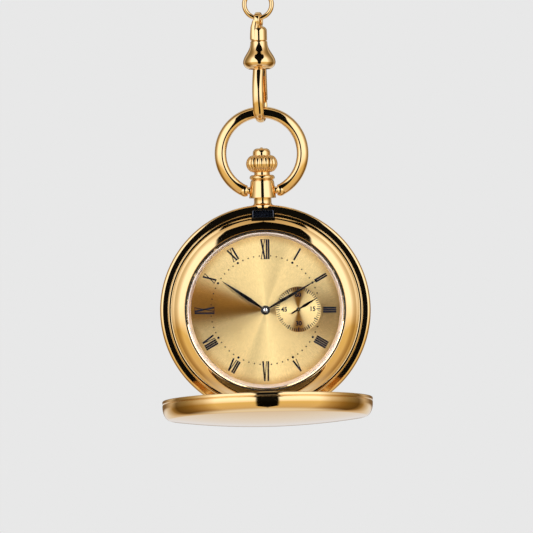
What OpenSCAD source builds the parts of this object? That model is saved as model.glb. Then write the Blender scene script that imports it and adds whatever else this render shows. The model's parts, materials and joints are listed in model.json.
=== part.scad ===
// Hunter-case pocket watch, hanging by its bow from a swivel clasp and one chain ring.
// Millimetres. The origin is the centre of the chain ring, +Z is up and the dial faces -Y.

/* [Case] */
// Diameter over the case band
case_d = 52; // [50.5:0.5:54]
// Radius of the band's rounded edges
band_edge = 0.8; // [0.6:0.1:1]
// Radial wall of the lid
lid_wall = 0.8; // [0.7:0.1:0.9]
// Radial gap between the closed lid and the step that it closes round
lid_clear = 0.3; // [0.2:0.1:0.4]
// Width of the flat step outside the bezel
step_w = 0.9; // [0.8:0.1:1.1]
// Height of the step over the lid's seat
step_h = 0.8; // [0.6:0.1:0.9]
// Depth of the case band between its two seats
band_h = 4.8; // [4.7:0.1:5.2]
// Height of the lid's straight rim
lid_rim = 2.7; // [2.5:0.1:3]
// Radius of the lid's shoulder
lid_shoulder = 2.5; // [2:0.1:2.8]
// Rise of the lid's dome over its shoulder
lid_dome = 2; // [1.4:0.1:2.4]
// Thickness of the lid's dome
lid_skin = 0.5; // [0.4:0.05:0.6]
// How far the lid is open at rest, in degrees from shut
lid_open = 83.5; // [75:0.5:84]
// Depth of the rear cover behind its seat
rear_h = 2.4; // [2.3:0.1:2.8]
// Diameter of the rear cover's flat middle
rear_flat_d = 42; // [38:1:43]

/* [Bezel and glass] */
// Radial distance from the rehaut's inside to the outside of the case band
dial_margin = 7.7; // [7.6:0.05:7.8]
// Radial width of the polished rehaut ring
rehaut_w = 0.85; // [0.7:0.05:0.95]
// Radial width of the crystal's seat
glass_seat_w = 0.65; // [0.5:0.05:0.75]
// Radial thickness of the crystal's gasket
gasket_t = 0.3; // [0.2:0.05:0.35]
// Height of the crystal's seat over the dial
glass_lift = 2.1; // [2:0.1:2.3]
// Thickness of the crystal at its edge
glass_t = 0.7; // [0.6:0.05:0.8]
// Rise of the crystal's dome
glass_dome = 0.5; // [0.2:0.1:0.7]
// Height of the bezel's inner edge over its outer edge
bezel_rise = 1.6; // [1.2:0.1:1.8]

/* [Dial and hands] */
// Thickness of the dial
dial_t = 0.4; // [0.35:0.05:0.5]
// Distance from the centre to the seconds dial's centre
sub_offset = 8.1; // [8:0.05:8.2]
// Diameter of the sunk seconds dial
sub_d = 11.2; // [10.6:0.1:11.4]
// Thickness of the seconds dial
sub_t = 0.2; // [0.15:0.05:0.2]
// Length of the hour hand from the centre
hour_len = 12.7; // [11.5:0.1:13.5]
// Length of the minute hand from the centre
minute_len = 14.6; // [13.8:0.1:16.5]
// Length of the seconds hand from its centre
second_len = 5.1; // [4.4:0.1:5.3]
// Width of the hour hand at its widest
hour_w = 0.95; // [0.7:0.05:1.2]
// Width of the minute hand at its widest
minute_w = 0.8; // [0.6:0.05:1]
// Thickness of the hands
hand_t = 0.18; // [0.14:0.02:0.2]
// Hour that the hands show
show_h = 10; // [1:1:12]
// Minute that the hands show
show_m = 10; // [0:1:59]
// Second that the hands show
show_s = 10; // [0:1:59]

/* [Pendant, crown and bow] */
// Height of the bow's pivots over the case band
pivot_h = 3.6; // [3.4:0.1:4]
// Diameter of the pendant's body at its foot
pendant_d = 6.6; // [6.4:0.1:6.8]
// Diameter of the pendant's body at its top
pendant_top_d = 5.8; // [5.6:0.1:6]
// Diameter of the pendant's neck at the case
neck_d = 4.3; // [4:0.1:4.6]
// Diameter over the crown's flutes
crown_d = 7.9; // [7:0.1:8.4]
// Height of the crown's fluted part
crown_h = 4.2; // [3.8:0.1:4.6]
// Number of flutes round the crown
crown_ribs = 18; // [14:1:20]
// Diameter of the crown's plain cap
cap_d = 4.35; // [3.6:0.05:5]
// Outer diameter of the bow
bow_d = 23.2; // [22:0.2:25]
// Thickness of the bow's wire
bow_wire = 2.87; // [2.6:0.01:2.9]
// Distance between the bow's two end faces
bow_gap = 7.3; // [7.3:0.1:7.7]
// How far the crown is pressed to open the lid
crown_push = 0.6; // [0.5:0.05:0.6]

/* [Clasp] */
// Outer diameter of the chain ring
ring_d = 7.9; // [7:0.1:9]
// Thickness of the chain ring's wire
ring_wire = 1.15; // [1:0.05:1.2]
// Thickness of the eye's loop in its own plane
eye_wire = 0.85; // [0.7:0.05:1]
// Width of the eye's loop seen from its edge
eye_w = 1.5; // [1.2:0.1:1.8]
// Diameter of the hole through the eye
eye_hole_d = 2.5; // [2.5:0.1:2.8]
// Diameter of the eye's collar
collar_d = 4.1; // [3.8:0.1:4.4]
// Height of the eye's collar
collar_h = 3.8; // [3.4:0.1:4.2]
// Diameter over the bell's mouth
bell_d = 8.05; // [7.8:0.05:8.6]
// Height of the bell
bell_h = 6.95; // [6.8:0.05:7.6]
// Distance from the bell's mouth to the underside of the hook
hook_drop = 13.25; // [13:0.05:14]
// Width of the hook's back
hook_w = 2.7; // [2.4:0.1:3]
// Thickness of the hook where the bow rests
hook_bar = 1.15; // [1:0.05:1.2]
// Radius of the hook's bend along its middle line
hook_bend = 2.6; // [2.5:0.05:2.8]
// How far the clasp is turned about its swivel at rest
hook_turn = 12; // [0:1:30]
// Width of the gate
gate_w = 2.6; // [2:0.1:2.8]
// Thickness of the gate
gate_t = 0.9; // [0.8:0.05:1]

/* [Movement] */
// Thickness of the mainplate
plate_t = 2.4; // [2.35:0.05:2.45]
// Distance from the mainplate's dial side to the stem's axis
stem_depth = 1; // [0.95:0.01:1.02]
// Room between the mainplate and the dial
motion_room = 0.9; // [0.88:0.01:0.95]
// Thickness of the bridges
bridge_t = 0.6; // [0.55:0.05:0.65]
// Thickness of the ratchet wheel
ratchet_t = 0.3; // [0.25:0.05:0.35]
// Radius of the train's pivots
pivot_r = 0.12; // [0.1:0.01:0.14]
// Radius of the train's arbors
arbor_r = 0.28; // [0.24:0.01:0.3]
// Radius of the balance wheel
balance_r = 5.5; // [5:0.1:5.6]
// Number of turns of the mainspring
mainspring_turns = 8; // [6:1:9]
// Thickness of the mainspring's blade
mainspring_t = 0.18; // [0.14:0.01:0.2]
// Number of turns of the hairspring
hairspring_turns = 9; // [7:1:10]
// Thickness of the hairspring's blade
hairspring_t = 0.07; // [0.05:0.01:0.08]
// Radius of the winding stem
stem_r = 0.62; // [0.58:0.01:0.64]
// How far the crown is pulled out to set the hands
stem_pull = 0.9; // [0.8:0.05:0.9]

/* [Hidden] */
$fn = 64;
e = 0.01; // how far a cutter passes the face that it cuts
run = 0.03; // running clearance of a shaft or pivot
air = 0.05; // gap between pieces that only pass each other

// Depths on the watch, measured towards the viewer from the stem's axis
plate_front = stem_depth;
plate_back = plate_front - plate_t;
bridge_back = plate_back - bridge_t;
winding_front = bridge_back - air;
winding_back = winding_front - ratchet_t;
dial_back = plate_front + motion_room;
dial_front = dial_back + dial_t;
seat_front = dial_front + 0.3;
seat_back = seat_front - band_h;
step_front = seat_front + step_h;
glass_seat = dial_front + glass_lift;
lid_lip = seat_front + 2 * air;

// Radii on the watch, outwards from the dial
case_r = case_d / 2;
dial_view_r = case_r - dial_margin;
move_r = dial_view_r;
layout_r = 18.3; // the movement's radius that its layout is drawn for
plan = move_r / layout_r; // scale of the layout in the movement's plane
rehaut_r = dial_view_r + rehaut_w;
glass_bore = rehaut_r + glass_seat_w;
lid_r = case_r - band_edge - 2 * air;
step_r = lid_r - lid_wall - lid_clear;
bezel_r = step_r - step_w;
bezel_flank = 0.6;
slope_r = bezel_r - bezel_flank;
ring_in = move_r + air;
case_bore = glass_bore + 0.8;
band_lip = 0.6;

// Lid hinge at 6 o'clock
hinge_y = -lid_r - 2 * air;
hinge_z = lid_lip + 1.4;
knuckle_r = 0.75;
hinge_pin_r = 0.35;
knuckle_w = 2.7;
lug_out = 4;
hinge_relief = 8.6;

// Catch at 12 o'clock
catch_w = 5.2;
catch_slot = 5.8;
catch_nose = lid_r - 0.4;
catch_in = catch_nose - 2;
catch_notch = lid_r - 0.25;
spigot_r = 1.7;

// Pendant, crown and bow, as heights over the case's centre
pivot_y = case_r + pivot_h;
body_y = case_r + 1.7;
body_top = body_y + 4.3;
bead_h = 1.3;
bead_top = body_top + 0.1 + bead_h;
crown_y = bead_top + crown_push + 0.1;
crown_r = crown_d / 2;
skirt_r = 1.95;
skirt_in = 1.45;
skirt_y = bead_top - 2.4;
pendant_bore = skirt_r + run;
sleeve_r = 1.2;
bore_floor = skirt_y - crown_push - 2 * air;
boss_r = 0.9;
bow_pin_r = 0.55;
bow_r = bow_d / 2 - bow_wire / 2;
bow_end_x = bow_gap / 2 + 0.75;
bow_centre_y = pivot_y + sqrt(bow_r * bow_r - bow_end_x * bow_end_x);

// Clasp, as heights under the chain ring's centre
ring_r = ring_d / 2 - ring_wire / 2;
ring_inner = ring_r - ring_wire / 2;
eye_hole_r = eye_hole_d / 2;
eye_z = -ring_inner + run - eye_hole_r;
collar_top = eye_z - eye_hole_r;
collar_z = collar_top - collar_h;
bell_top = collar_z - air;
bell_z = bell_top - bell_h;
bar_z = bell_z - hook_drop + hook_bar / 2;
bend_z = bar_z + hook_bend;
bow_z = bar_z + hook_bar / 2 + run - (bow_d / 2 - bow_wire);
case_z = bow_z - bow_centre_y;
gate_pivot_d = 1.5;
gate_pivot_z = bell_z + 0.9;
gate_pin_r = 0.34;
nose_top = bend_z + 2.5;
rivet_r = 0.8;
mouth_r = 2.75;

// Teeth of the train
barrel_n = 80;
centre_p = 10;
centre_n = 80;
third_p = 10;
third_n = 75;
fourth_p = 10;
fourth_n = 80;
escape_p = 8;
cannon_n = 12;
minute_n = 36;
minute_p = 10;
hour_n = 40;
setting_n = 60;
ratchet_n = 54;
crown_n = 32;
winding_n = 17;
barrel_m = 0.19 * plan;
centre_m = 0.13 * plan;
third_m = 0.12 * plan;
fourth_m = 0.1 * plan;
cannon_m = 0.125 * plan;
hour_m = 0.12 * plan;
winding_m = 0.2 * plan;

// Depths of the train's wheels, back face of each, and their thickness
wheel_t = 0.18;
fourth_z = -0.38;
escape_z = -0.62;
centre_z = -0.98;
third_z = -1.28;
barrel_back = -0.7;
barrel_front = 0.58;
balance_z = -1.52;
balance_t = 0.32;
hairspring_r = 3.3 * plan;
escape_r = 2.8 * plan;
wheel_r = balance_r * plan;
fork_back = -1.05;
fork_bridge_t = 0.25;
cock_back = plate_back - 1.15;

function polar(r, a) = [r * cos(a), r * sin(a)];
function centres(m, a, b) = m * (a + b) / 2;
function aim(a, b) = atan2(b[1] - a[1], b[0] - a[0]);
// Where a tooth of the driven wheel stands, for a driving wheel with a tooth at angle p
function mesh(p, driver_n, driven_n, a) = a + 180 + 180 / driven_n + (a - p) * driver_n / driven_n;
// Points along an arc
function arc(x, y, r, a, b, n = 8) =
    [for (i = [0:n]) [x + r * cos(a + (b - a) * i / n), y + r * sin(a + (b - a) * i / n)]];
// A point at the given distances from two others, on the left of the way from one to the other
function apex(p, q, rp, rq) =
    let (d = norm(q - p), u = (q - p) / d, s = (rp * rp - rq * rq + d * d) / (2 * d))
    p + u * s + [-u[1], u[0]] * sqrt(rp * rp - s * s);

centre_at = [0, 0];
barrel_at = polar(centres(barrel_m, barrel_n, centre_p), 134.4);
fourth_at = [sub_offset * plan, 0];
third_at = apex(centre_at, fourth_at, centres(centre_m, centre_n, third_p),
    centres(third_m, third_n, fourth_p));
escape_at = fourth_at + polar(centres(fourth_m, fourth_n, escape_p), -110.4);
fork_at = escape_at + polar(3.4 * plan, -130.8);
balance_at = fork_at + polar(4.4 * plan, -130.8);
minute_at = [0, centres(cannon_m, cannon_n, minute_n)];
setting_at = minute_at + [0, centres(cannon_m, minute_n, setting_n)];
wind_d = centres(winding_m, ratchet_n, crown_n);
crown_wheel_at = [0, barrel_at[1] + sqrt(wind_d * wind_d - barrel_at[0] * barrel_at[0])];

// Where a tooth stands on each pinion or wheel that another one drives
centre_turn = mesh(0, barrel_n, centre_p, aim(barrel_at, centre_at));
third_turn = mesh(0, centre_n, third_p, aim(centre_at, third_at));
fourth_turn = mesh(0, third_n, fourth_p, aim(third_at, fourth_at));
escape_turn = mesh(0, fourth_n, escape_p, aim(fourth_at, escape_at));
minute_turn = mesh(0, cannon_n, minute_n, aim(centre_at, minute_at));
hour_turn = mesh(0, minute_p, hour_n, aim(minute_at, centre_at));
setting_turn = mesh(minute_turn, minute_n, setting_n, aim(minute_at, setting_at));
crown_turn = mesh(0, ratchet_n, crown_n, aim(barrel_at, crown_wheel_at));
winding_turn = 90 + (crown_turn + 180 / crown_n - 90) * crown_n / winding_n;

// Keyless work, along the stem
slot_y = 12.75 * plan;
clutch_len = 1.3;
clutch_y = slot_y + air + 0.8;
clutch_groove = clutch_y + 0.8;
pinion_y = clutch_y + clutch_len + air;
pinion_teeth_y = crown_wheel_at[1] + winding_m * (crown_n / 2 + 1) - 0.22;
pinion_top = pinion_teeth_y + 0.85;
groove_y = pinion_top + 0.35;
groove_w = 0.5;
lever_at = [3.2 * plan, groove_y + groove_w / 2 + 0.1];
lever_pin = [0, groove_y + groove_w / 2];
yoke_at = [-4.6 * plan, clutch_groove - 0.4];
yoke_tip = [-1.15, clutch_groove];
square = 0.82;
keyless_z = plate_front + air;
keyless_t = 0.25;

// Hands
minute_angle = 6 * show_m + show_s / 10;
hour_angle = 30 * show_h + show_m / 2 + show_s / 120;
second_angle = 6 * show_s;
hour_z = dial_front + 0.45;
minute_z = hour_z + 0.45;
second_z = dial_back + 0.25;

// Screws of the bridges, and of the movement in its ring
bridge_screw_r = 0.35;
bridge_screw_head = 0.75;
barrel_screws = plan * [[-15.2, 4.6], [-8.6, 14.4], [5.2, 15.2]];
train_screws = plan * [[15.3, -3.4], [12.4, 9.4]];
cock_screw = plan * [-6.6, -13.6];
fork_screw = plan * [8.1, -9.6];
case_screw_r = move_r - 1.1;
case_screw_turns = [152, 332];
click_at = plan * [-12.6, 5.2];
click_tip = barrel_at + polar(winding_m * (ratchet_n / 2 + 1) + 0.06, 147);
click_foot = plan * [-12.3, 0.9];
foot_at = plan * [[-14.2, -7.6], [14.2, 5.4]];
foot_r = 0.35;
jewel_r = 0.5;
jewel_t = 0.23;

gold = "goldenrod";
pale = "lightgoldenrodyellow";
steel = "silver";

// Puts a child drawn as seen from the front, x right, y up and z to the viewer, on the watch
module watch() {
    translate([0, 0, case_z]) rotate([90, 0, 0]) children();
}

// Puts a child drawn round the pendant's axis, with z up, on the watch
module upright() {
    translate([0, 0, case_z]) children();
}

module ring_of(points) {
    rotate_extrude() polygon(points);
}

module tube(r, hole, z, t) {
    translate([0, 0, z]) linear_extrude(t) difference() {
        circle(r);
        circle(hole);
    }
}

module rod(r, z, t) {
    translate([0, 0, z]) cylinder(h = t, r = r);
}

// A torus, or the stretch of one
module wire_ring(r, wire, angle = 360) {
    rotate_extrude(angle = angle) translate([r, 0]) circle(d = wire, $fn = 32);
}

// A flat bar with round ends
module link(a, b, r) {
    translate(a) circle(r);
    translate(b) circle(r);
    translate(a) rotate(aim(a, b)) translate([0, -r]) square([norm(b - a), 2 * r]);
}

// Closes rings of points into a solid, each ring in turn joined to the next
module skin(rings) {
    n = len(rings[0]);
    last = (len(rings) - 1) * n;
    points = [for (r = rings) for (p = r) p];
    sides = [for (k = [0:len(rings) - 2]) for (i = [0:n - 1]) for (f = [
        [k * n + i, (k + 1) * n + i, k * n + (i + 1) % n],
        [(k + 1) * n + i, (k + 1) * n + (i + 1) % n, k * n + (i + 1) % n]]) f];
    ends = [for (i = [1:n - 2]) for (f = [[0, i, i + 1], [last, last + i + 1, last + i]]) f];
    polyhedron(points, concat(sides, ends));
}

// Teeth of a wheel: root, tip, tip, root for each
function teeth(n, m, turn = 0) =
    let (root = m * (n / 2 - 1.25), tip = m * (n / 2 + 1), w = n < 20 ? [0.24, 0.09] : [0.28, 0.11])
    [for (i = [0:n - 1]) for (k = [[root, -w[0]], [tip, -w[1]], [tip, w[1]], [root, w[0]]])
        polar(k[0], turn + (i + k[1]) * 360 / n)];

module spoked(n, m, turn, z, t, hub, arms, rim) {
    inner = m * (n / 2 - 1.25) - rim;
    translate([0, 0, z]) linear_extrude(t) difference() {
        polygon(teeth(n, m, turn));
        difference() {
            circle(inner);
            circle(hub);
            for (i = [0:arms - 1]) rotate(i * 360 / arms) translate([0, -hub / 4])
                square([inner + 1, hub / 2]);
        }
    }
}

module pinion(n, m, turn, z, t) {
    translate([0, 0, z]) linear_extrude(t) polygon(teeth(n, m, turn));
}

// An arbor with a thin pivot at each end
module arbor(back, front, r = arbor_r, p = pivot_r) {
    shoulder = 0.25;
    rod(r, back + shoulder, front - back - 2 * shoulder);
    rod(p, back, front - back);
}

// A flat spiral blade from radius a to radius b
module spiral(a, b, turns, blade, z, t) {
    steps = 24;
    n = turns * steps;
    function at(i, side) = polar(a + (b - a) * i / n + side * blade / 2, 360 * i / steps);
    outline = concat([for (i = [0:n]) at(i, 1)], [for (i = [n:-1:0]) at(i, -1)]);
    translate([0, 0, z]) linear_extrude(t) polygon(outline);
}

// Clasp

module chain_ring() {
    color(gold) rotate([90, 0, 0]) wire_ring(ring_r, ring_wire);
}

module swivel_eye() {
    loop_r = eye_hole_r + eye_wire / 2;
    flank = (eye_w - eye_wire) / 2;
    shoulder = 1.1;
    stem = collar_z - 3.2;
    color(gold) {
        difference() {
            translate([0, 0, eye_z]) rotate([0, 90, 0]) rotate_extrude() union() {
                for (s = [-1, 1]) translate([loop_r, s * flank]) circle(d = eye_wire, $fn = 32);
                translate([loop_r - eye_wire / 2, -flank]) square([eye_wire, 2 * flank]);
            }
            rod(collar_d, collar_z - e, collar_top - 0.2 - collar_z);
        }
        difference() {
            ring_of(concat([[0, collar_z], [collar_d / 2 - 0.2, collar_z], [collar_d / 2, collar_z + 0.2]],
                arc(collar_d / 2 - shoulder, collar_top - 0.2 - shoulder, shoulder, 0, 90),
                [[0, collar_top - 0.2]]));
            translate([0, 0, eye_z]) rotate([0, 90, 0])
                cylinder(h = collar_d, r = eye_hole_r, center = true);
        }
        rod(rivet_r, stem, collar_z - stem + e);
        rod(rivet_r + 0.5, stem - 0.6, 0.6);
    }
}

function bell_out(f) =
    let (r = bell_d / 2, top = collar_d / 2 + 0.05, lip = 1.45)
    f < 0 ? [0, 0] : [top + (r - top) * pow(f, 1.6), bell_top - 0.35 - f * (bell_h - 0.35 - lip - 0.3)];

module swivel_bell() {
    lip = 1.75;
    r = bell_d / 2;
    roof = bell_top - 1.6;
    color(gold) difference() {
        ring_of(concat([[0, bell_top], [collar_d / 2 - 0.2, bell_top]],
            [for (i = [0:10]) bell_out(i / 10)],
            arc(r - lip, bell_z + lip, lip, 0, -90, 8), [[0, bell_z]]));
        rod(rivet_r + run, bell_top - 2.2, 2.3);
        ring_of([[0, bell_z - e], [mouth_r, bell_z - e], [mouth_r, bell_z + 3],
            [rivet_r + 0.7, roof - 0.5], [rivet_r + 0.7, roof], [0, roof]]);
    }
}

// The hook's middle line in its own plane: distance behind the axis, height, thickness, half width
hook_top = bell_z + 1.9;
hook_line = concat(
    [[-1.1, hook_top, 1.7, 1.3], [-1.5, bell_z, 1.8, 1.35], [-2.1, bell_z - 1.6, 1.85, hook_w / 2],
        [-2.75, bell_z - 3.6, 1.8, hook_w / 2], [-3.05, bell_z - 5.6, 1.7, hook_w / 2],
        [-3, bend_z + 1.7, 1.6, hook_w / 2], [-2.75, bend_z + 0.7, 1.45, hook_w / 2]],
    [for (i = [0:10]) let (a = 180 + 18 * i, s = sin(a), w = pow(abs(s), 1.5))
        [hook_bend * cos(a), bend_z + hook_bend * s, hook_bar + 0.2 * (1 - w), i < 6
            ? 0.62 + (hook_w / 2 - 0.62) * (1 - w) : 0.62 + 0.55 * (1 - w)]],
    [[hook_bend + 0.12, bend_z + 1, 1.25, 1.2], [hook_bend + 0.12, bend_z + 1.9, 1.2, 1.2],
        [hook_bend + 0.05, nose_top - 0.12, 0.9, 1], [hook_bend, nose_top, 0.5, 0.7]]);

// An oval ring of points square to the hook's middle line
function hook_ring(i) =
    let (p = hook_line[i], q = hook_line[max(i - 1, 0)], s = hook_line[min(i + 1, len(hook_line) - 1)],
        a = atan2(s[1] - q[1], s[0] - q[0]), sides = 16)
    [for (k = [0:sides - 1]) let (b = 360 * k / sides, u = p[2] / 2 * cos(b))
        [p[3] * sin(b), p[0] - u * sin(a), p[1] + u * cos(a)]];

module turned() {
    rotate([0, 0, -hook_turn]) children();
}

module clasp_hook() {
    cheek = 0.35;
    color(gold) turned() {
        skin([for (i = [0:len(hook_line) - 1]) hook_ring(i)]);
        rod(mouth_r - run, hook_top - 0.1, 0.95);
        difference() {
            for (s = [-1, 1]) translate([s * (gate_w / 2 + air + cheek / 2) - cheek / 2, -0.3, bell_z + 0.1])
                cube([cheek, 2.3, hook_top - bell_z]);
            translate([0, gate_pivot_d, gate_pivot_z]) rotate([0, 90, 0])
                cylinder(h = 2 * gate_w, r = gate_pin_r, center = true, $fn = 32);
        }
    }
}

module clasp_gate() {
    knuckle = 0.75;
    foot = nose_top - 0.12;
    tip_d = hook_bend - 0.72;
    color(gold) turned() difference() {
        translate([-gate_w / 2, 0, 0]) rotate([90, 0, 90]) linear_extrude(gate_w) {
            translate([gate_pivot_d, gate_pivot_z]) circle(knuckle, $fn = 32);
            polygon([[tip_d - 0.4, foot + 0.6], [tip_d - 0.5, foot - 0.35], [tip_d + 0.1, foot - 0.45],
                [tip_d + 0.15, nose_top + 0.1], [tip_d + gate_t, nose_top + 0.1],
                [tip_d + gate_t, nose_top + 0.9], [gate_pivot_d + knuckle, gate_pivot_z],
                [gate_pivot_d - 0.1, gate_pivot_z]]);
        }
        translate([0, gate_pivot_d, gate_pivot_z]) rotate([0, 90, 0])
            cylinder(h = 2 * gate_w, r = gate_pin_r + run, center = true, $fn = 32);
    }
}

module clasp_gate_pin() {
    reach = gate_w / 2 + air + 0.35;
    color(steel) turned() translate([-reach, gate_pivot_d, gate_pivot_z]) rotate([0, 90, 0])
        cylinder(h = 2 * reach, r = gate_pin_r, $fn = 32);
}

module clasp_spring() {
    blade = 0.15;
    width = 1.6;
    color(steel) turned() translate([-width / 2, 0, 0]) rotate([90, 0, 90]) linear_extrude(width)
        polygon([[0, hook_top - 0.1], [blade, hook_top - 0.1], [blade + 0.1, bell_z],
            [gate_pivot_d - 1.15 + blade, bell_z - 1.6], [gate_pivot_d - 1.15, bell_z - 1.6],
            [0.1, bell_z]]);
}

// Bow, pendant and crown

module bow_pin_holes(r, reach) {
    for (s = [-1, 1]) translate([s * reach / 2, 0, pivot_y]) rotate([0, 90, 0])
        cylinder(h = reach, r = r, center = true, $fn = 32);
}

module bow() {
    ball = bow_wire / 2 + 0.05;
    half = asin(bow_end_x / bow_r);
    color(gold) upright() difference() {
        union() {
            translate([0, 0, bow_centre_y]) rotate([90, 0, 0]) rotate([0, 0, half - 90])
                wire_ring(bow_r, bow_wire, 360 - 2 * half);
            for (s = [-1, 1]) translate([s * bow_end_x, 0, pivot_y]) sphere(ball);
        }
        translate([-bow_gap / 2, -ball - 1, pivot_y - ball - 1]) cube([bow_gap, 2 * ball + 2, 2 * ball + 2]);
        bow_pin_holes(bow_pin_r + run, bow_gap / 2 + 1.2);
    }
}

module bow_pins() {
    root = 1.6;
    color(steel) upright() for (s = [-1, 1]) translate([s * root, 0, pivot_y]) rotate([0, s * 90, 0])
        cylinder(h = bow_gap / 2 + 1.1 - root, r = bow_pin_r, $fn = 32);
}

// The case band's outer shape, without its bores
module band_blank(grow = 0) {
    ring_of(concat([[0, seat_back - grow], [case_r - band_edge, seat_back - grow]],
        arc(case_r - band_edge, seat_back + band_edge, band_edge + grow, -90, 0),
        arc(case_r - band_edge, seat_front - band_edge, band_edge + grow, 0, 90),
        [[0, seat_front + grow]]));
}

module pendant() {
    r = pendant_d / 2;
    top = pendant_top_d / 2;
    neck = neck_d / 2;
    flare = 0.7;
    color(gold) difference() {
        union() {
            upright() ring_of(concat([[0, case_r - 1.5], [neck + flare, case_r - 1.5],
                [neck + flare, case_r - 0.1]],
                arc(neck + flare, case_r + flare - 0.1, flare, -90, -180, 5), [[neck, body_y], [r, body_y],
                [r, body_y + 0.25], [top, body_top - 0.15], [top - 0.15, body_top],
                [top - 0.15, body_top + 0.1]],
                arc(top + 0.2 - bead_h / 2, bead_top - bead_h / 2, bead_h / 2, -90, 90), [[0, bead_top]]));
            upright() for (s = [-1, 1]) translate([0, 0, pivot_y]) rotate([0, s * 90, 0])
                cylinder(h = bow_gap / 2 - air, r = boss_r, $fn = 32);
            upright() rod(spigot_r, case_r - 2.4, 2.4);
        }
        difference() {
            watch() band_blank();
            upright() rod(spigot_r, case_r - 3, 4);
        }
        watch() rod(lid_r + air, seat_back - 2, 2);
        watch() rod(lid_r + air, seat_front, 2);
        upright() rod(pendant_bore, bore_floor, 4 + bead_top - bore_floor);
        upright() rod(sleeve_r, case_r - 3, bore_floor - case_r + 3 + e);
        upright() bow_pin_holes(bow_pin_r, bow_gap);
    }
}

module pendant_sleeve() {
    color(pale) upright() tube(sleeve_r, stem_r + run, case_r - 2.4, pivot_y - bow_pin_r - case_r + 2.3);
}

// A swelling fluted barrel with a plain cap, on the skirt that slides in the pendant
module crown() {
    cap_r = cap_d / 2;
    cap_h = 1.7;
    top = crown_y + crown_h;
    rise = 0.28 * crown_r;
    swell_r = (crown_h * crown_h / 4 + rise * rise) / (2 * rise);
    swell_at = [crown_r - swell_r, crown_y + crown_h / 2];
    flute_depth = 0.2;
    flute_r = 0.48;
    flute_end = asin((crown_h / 2 + 0.06) / (swell_r - flute_depth));
    color(gold) upright() difference() {
        union() {
            rotate_extrude() intersection() {
                translate(swell_at) circle(swell_r);
                translate([0, crown_y]) square([crown_d, crown_h]);
            }
            rod(cap_r - 0.2, crown_y - e, crown_h + 0.3);
            rod(skirt_r, skirt_y, crown_y - skirt_y + 0.2);
            ring_of(concat([[0, top - e], [cap_r, top - e], [cap_r, top + 0.5]],
                arc(cap_r - 1.2, top + cap_h - 1.2, 1.2, 0, 75),
                [[0.3, top + cap_h], [0.25, top + cap_h + 0.35],
                [0, top + cap_h + 0.45]]));
        }
        for (i = [1:crown_ribs]) rotate(360 * i / crown_ribs) translate([swell_at[0], 0, swell_at[1]])
            rotate([90, flute_end, 0])
                wire_ring(swell_r - flute_depth + flute_r, 2 * flute_r, 2 * flute_end);
        rod(skirt_in, skirt_y - e, crown_y - skirt_y - 0.3);
        rod(stem_r + run, skirt_y, crown_y + 3 - skirt_y);
    }
}

module crown_spring() {
    turns = 5;
    steps = 12;
    wire = 0.26;
    r = (skirt_in + stem_r) / 2;
    low = bore_floor + wire / 2 + run;
    rise = crown_y - 0.3 - 2 * wire - low;
    color(steel) upright() skin([for (i = [0:turns * steps]) let (a = 360 * i / steps, z = low + rise * i
        / (turns * steps)) [for (k = [0:5]) let (b = 60 * k) [(r + wire / 2 * cos(b)) * cos(a),
        (r + wire / 2 * cos(b)) * sin(a), z + wire / 2 * sin(b)]]]);
}

module winding_stem() {
    pilot = 0.25;
    top = crown_y + 2.2;
    square_top = pinion_y + 0.2;
    color(steel) upright() {
        rod(pilot, slot_y - 1.1, 1.6);
        translate([-square / 2, -square / 2, slot_y + air])
            cube([square, square, square_top + 0.1 - slot_y]);
        rod(stem_r - 0.22, square_top + 0.3, top - square_top - 0.6);
        rod(stem_r, square_top, groove_y - square_top);
        rod(stem_r, groove_y + groove_w, top - groove_y - groove_w);
    }
}

// Case

module case_middle() {
    groove_in = case_bore + 0.6;
    groove_out = groove_in + 1.4;
    rim_back = seat_back - 0.8;
    color(gold) difference() {
        watch() union() {
            difference() {
                union() {
                    band_blank();
                    rod(step_r, seat_front - e, step_h + e);
                    rod(step_r - 0.4, rim_back, 1);
                }
                rod(case_bore, plate_back, 9);
                rod(case_bore - band_lip, rim_back - 1, 9);
                rod(bezel_r + run, seat_front - 0.2, 3);
                tube(groove_out, groove_in, rim_back - e, plate_back - rim_back);
                translate([-hinge_relief, -case_r - 1, seat_front])
                    cube([2 * hinge_relief, case_r - slope_r + 1.5, 2]);
                rotate([-90, 0, 0]) rod(stem_r + air, case_bore - 2, 8);
                rotate([-90, 0, 0]) rod(spigot_r, case_r - 2.4, 4);
                translate([-catch_slot / 2, catch_in - crown_push - 0.1, spigot_r + air])
                    cube([catch_slot, 2.75, 4]);
            }
            for (s = [-1, 1]) difference() {
                hull() for (z = [hinge_z, seat_front - 1.2]) translate([s * (knuckle_w / 2 + run), hinge_y
                    + (z < hinge_z ? 0.3 : 0), z]) rotate([0, s * 90, 0])
                    cylinder(h = lug_out - knuckle_w / 2,
                    r = z < hinge_z ? 0.5 : knuckle_r, $fn = 32);
                rod(step_r - 0.6, seat_front - 3, 6);
            }
        }
        watch() translate([0, hinge_y, hinge_z]) rotate([0, 90, 0])
            cylinder(h = 4 * lug_out, r = hinge_pin_r, center = true, $fn = 32);
    }
}

module rear_cover() {
    skin_t = 0.6;
    back = seat_back - rear_h;
    flat_r = rear_flat_d / 2;
    edge = 0.9;
    inner = step_r - 0.4 + run;
    color(gold) watch() difference() {
        ring_of(concat([[0, seat_back], [lid_r, seat_back], [lid_r, seat_back - edge]],
            arc(lid_r - 1, seat_back - edge, 1, 0, -60, 6), [[flat_r, back], [0, back]]));
        ring_of([[0, seat_back + 1], [inner, seat_back + 1], [inner, seat_back - 0.8 - run],
            [flat_r - 0.8, back + skin_t], [0, back + skin_t]]);
    }
}

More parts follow.
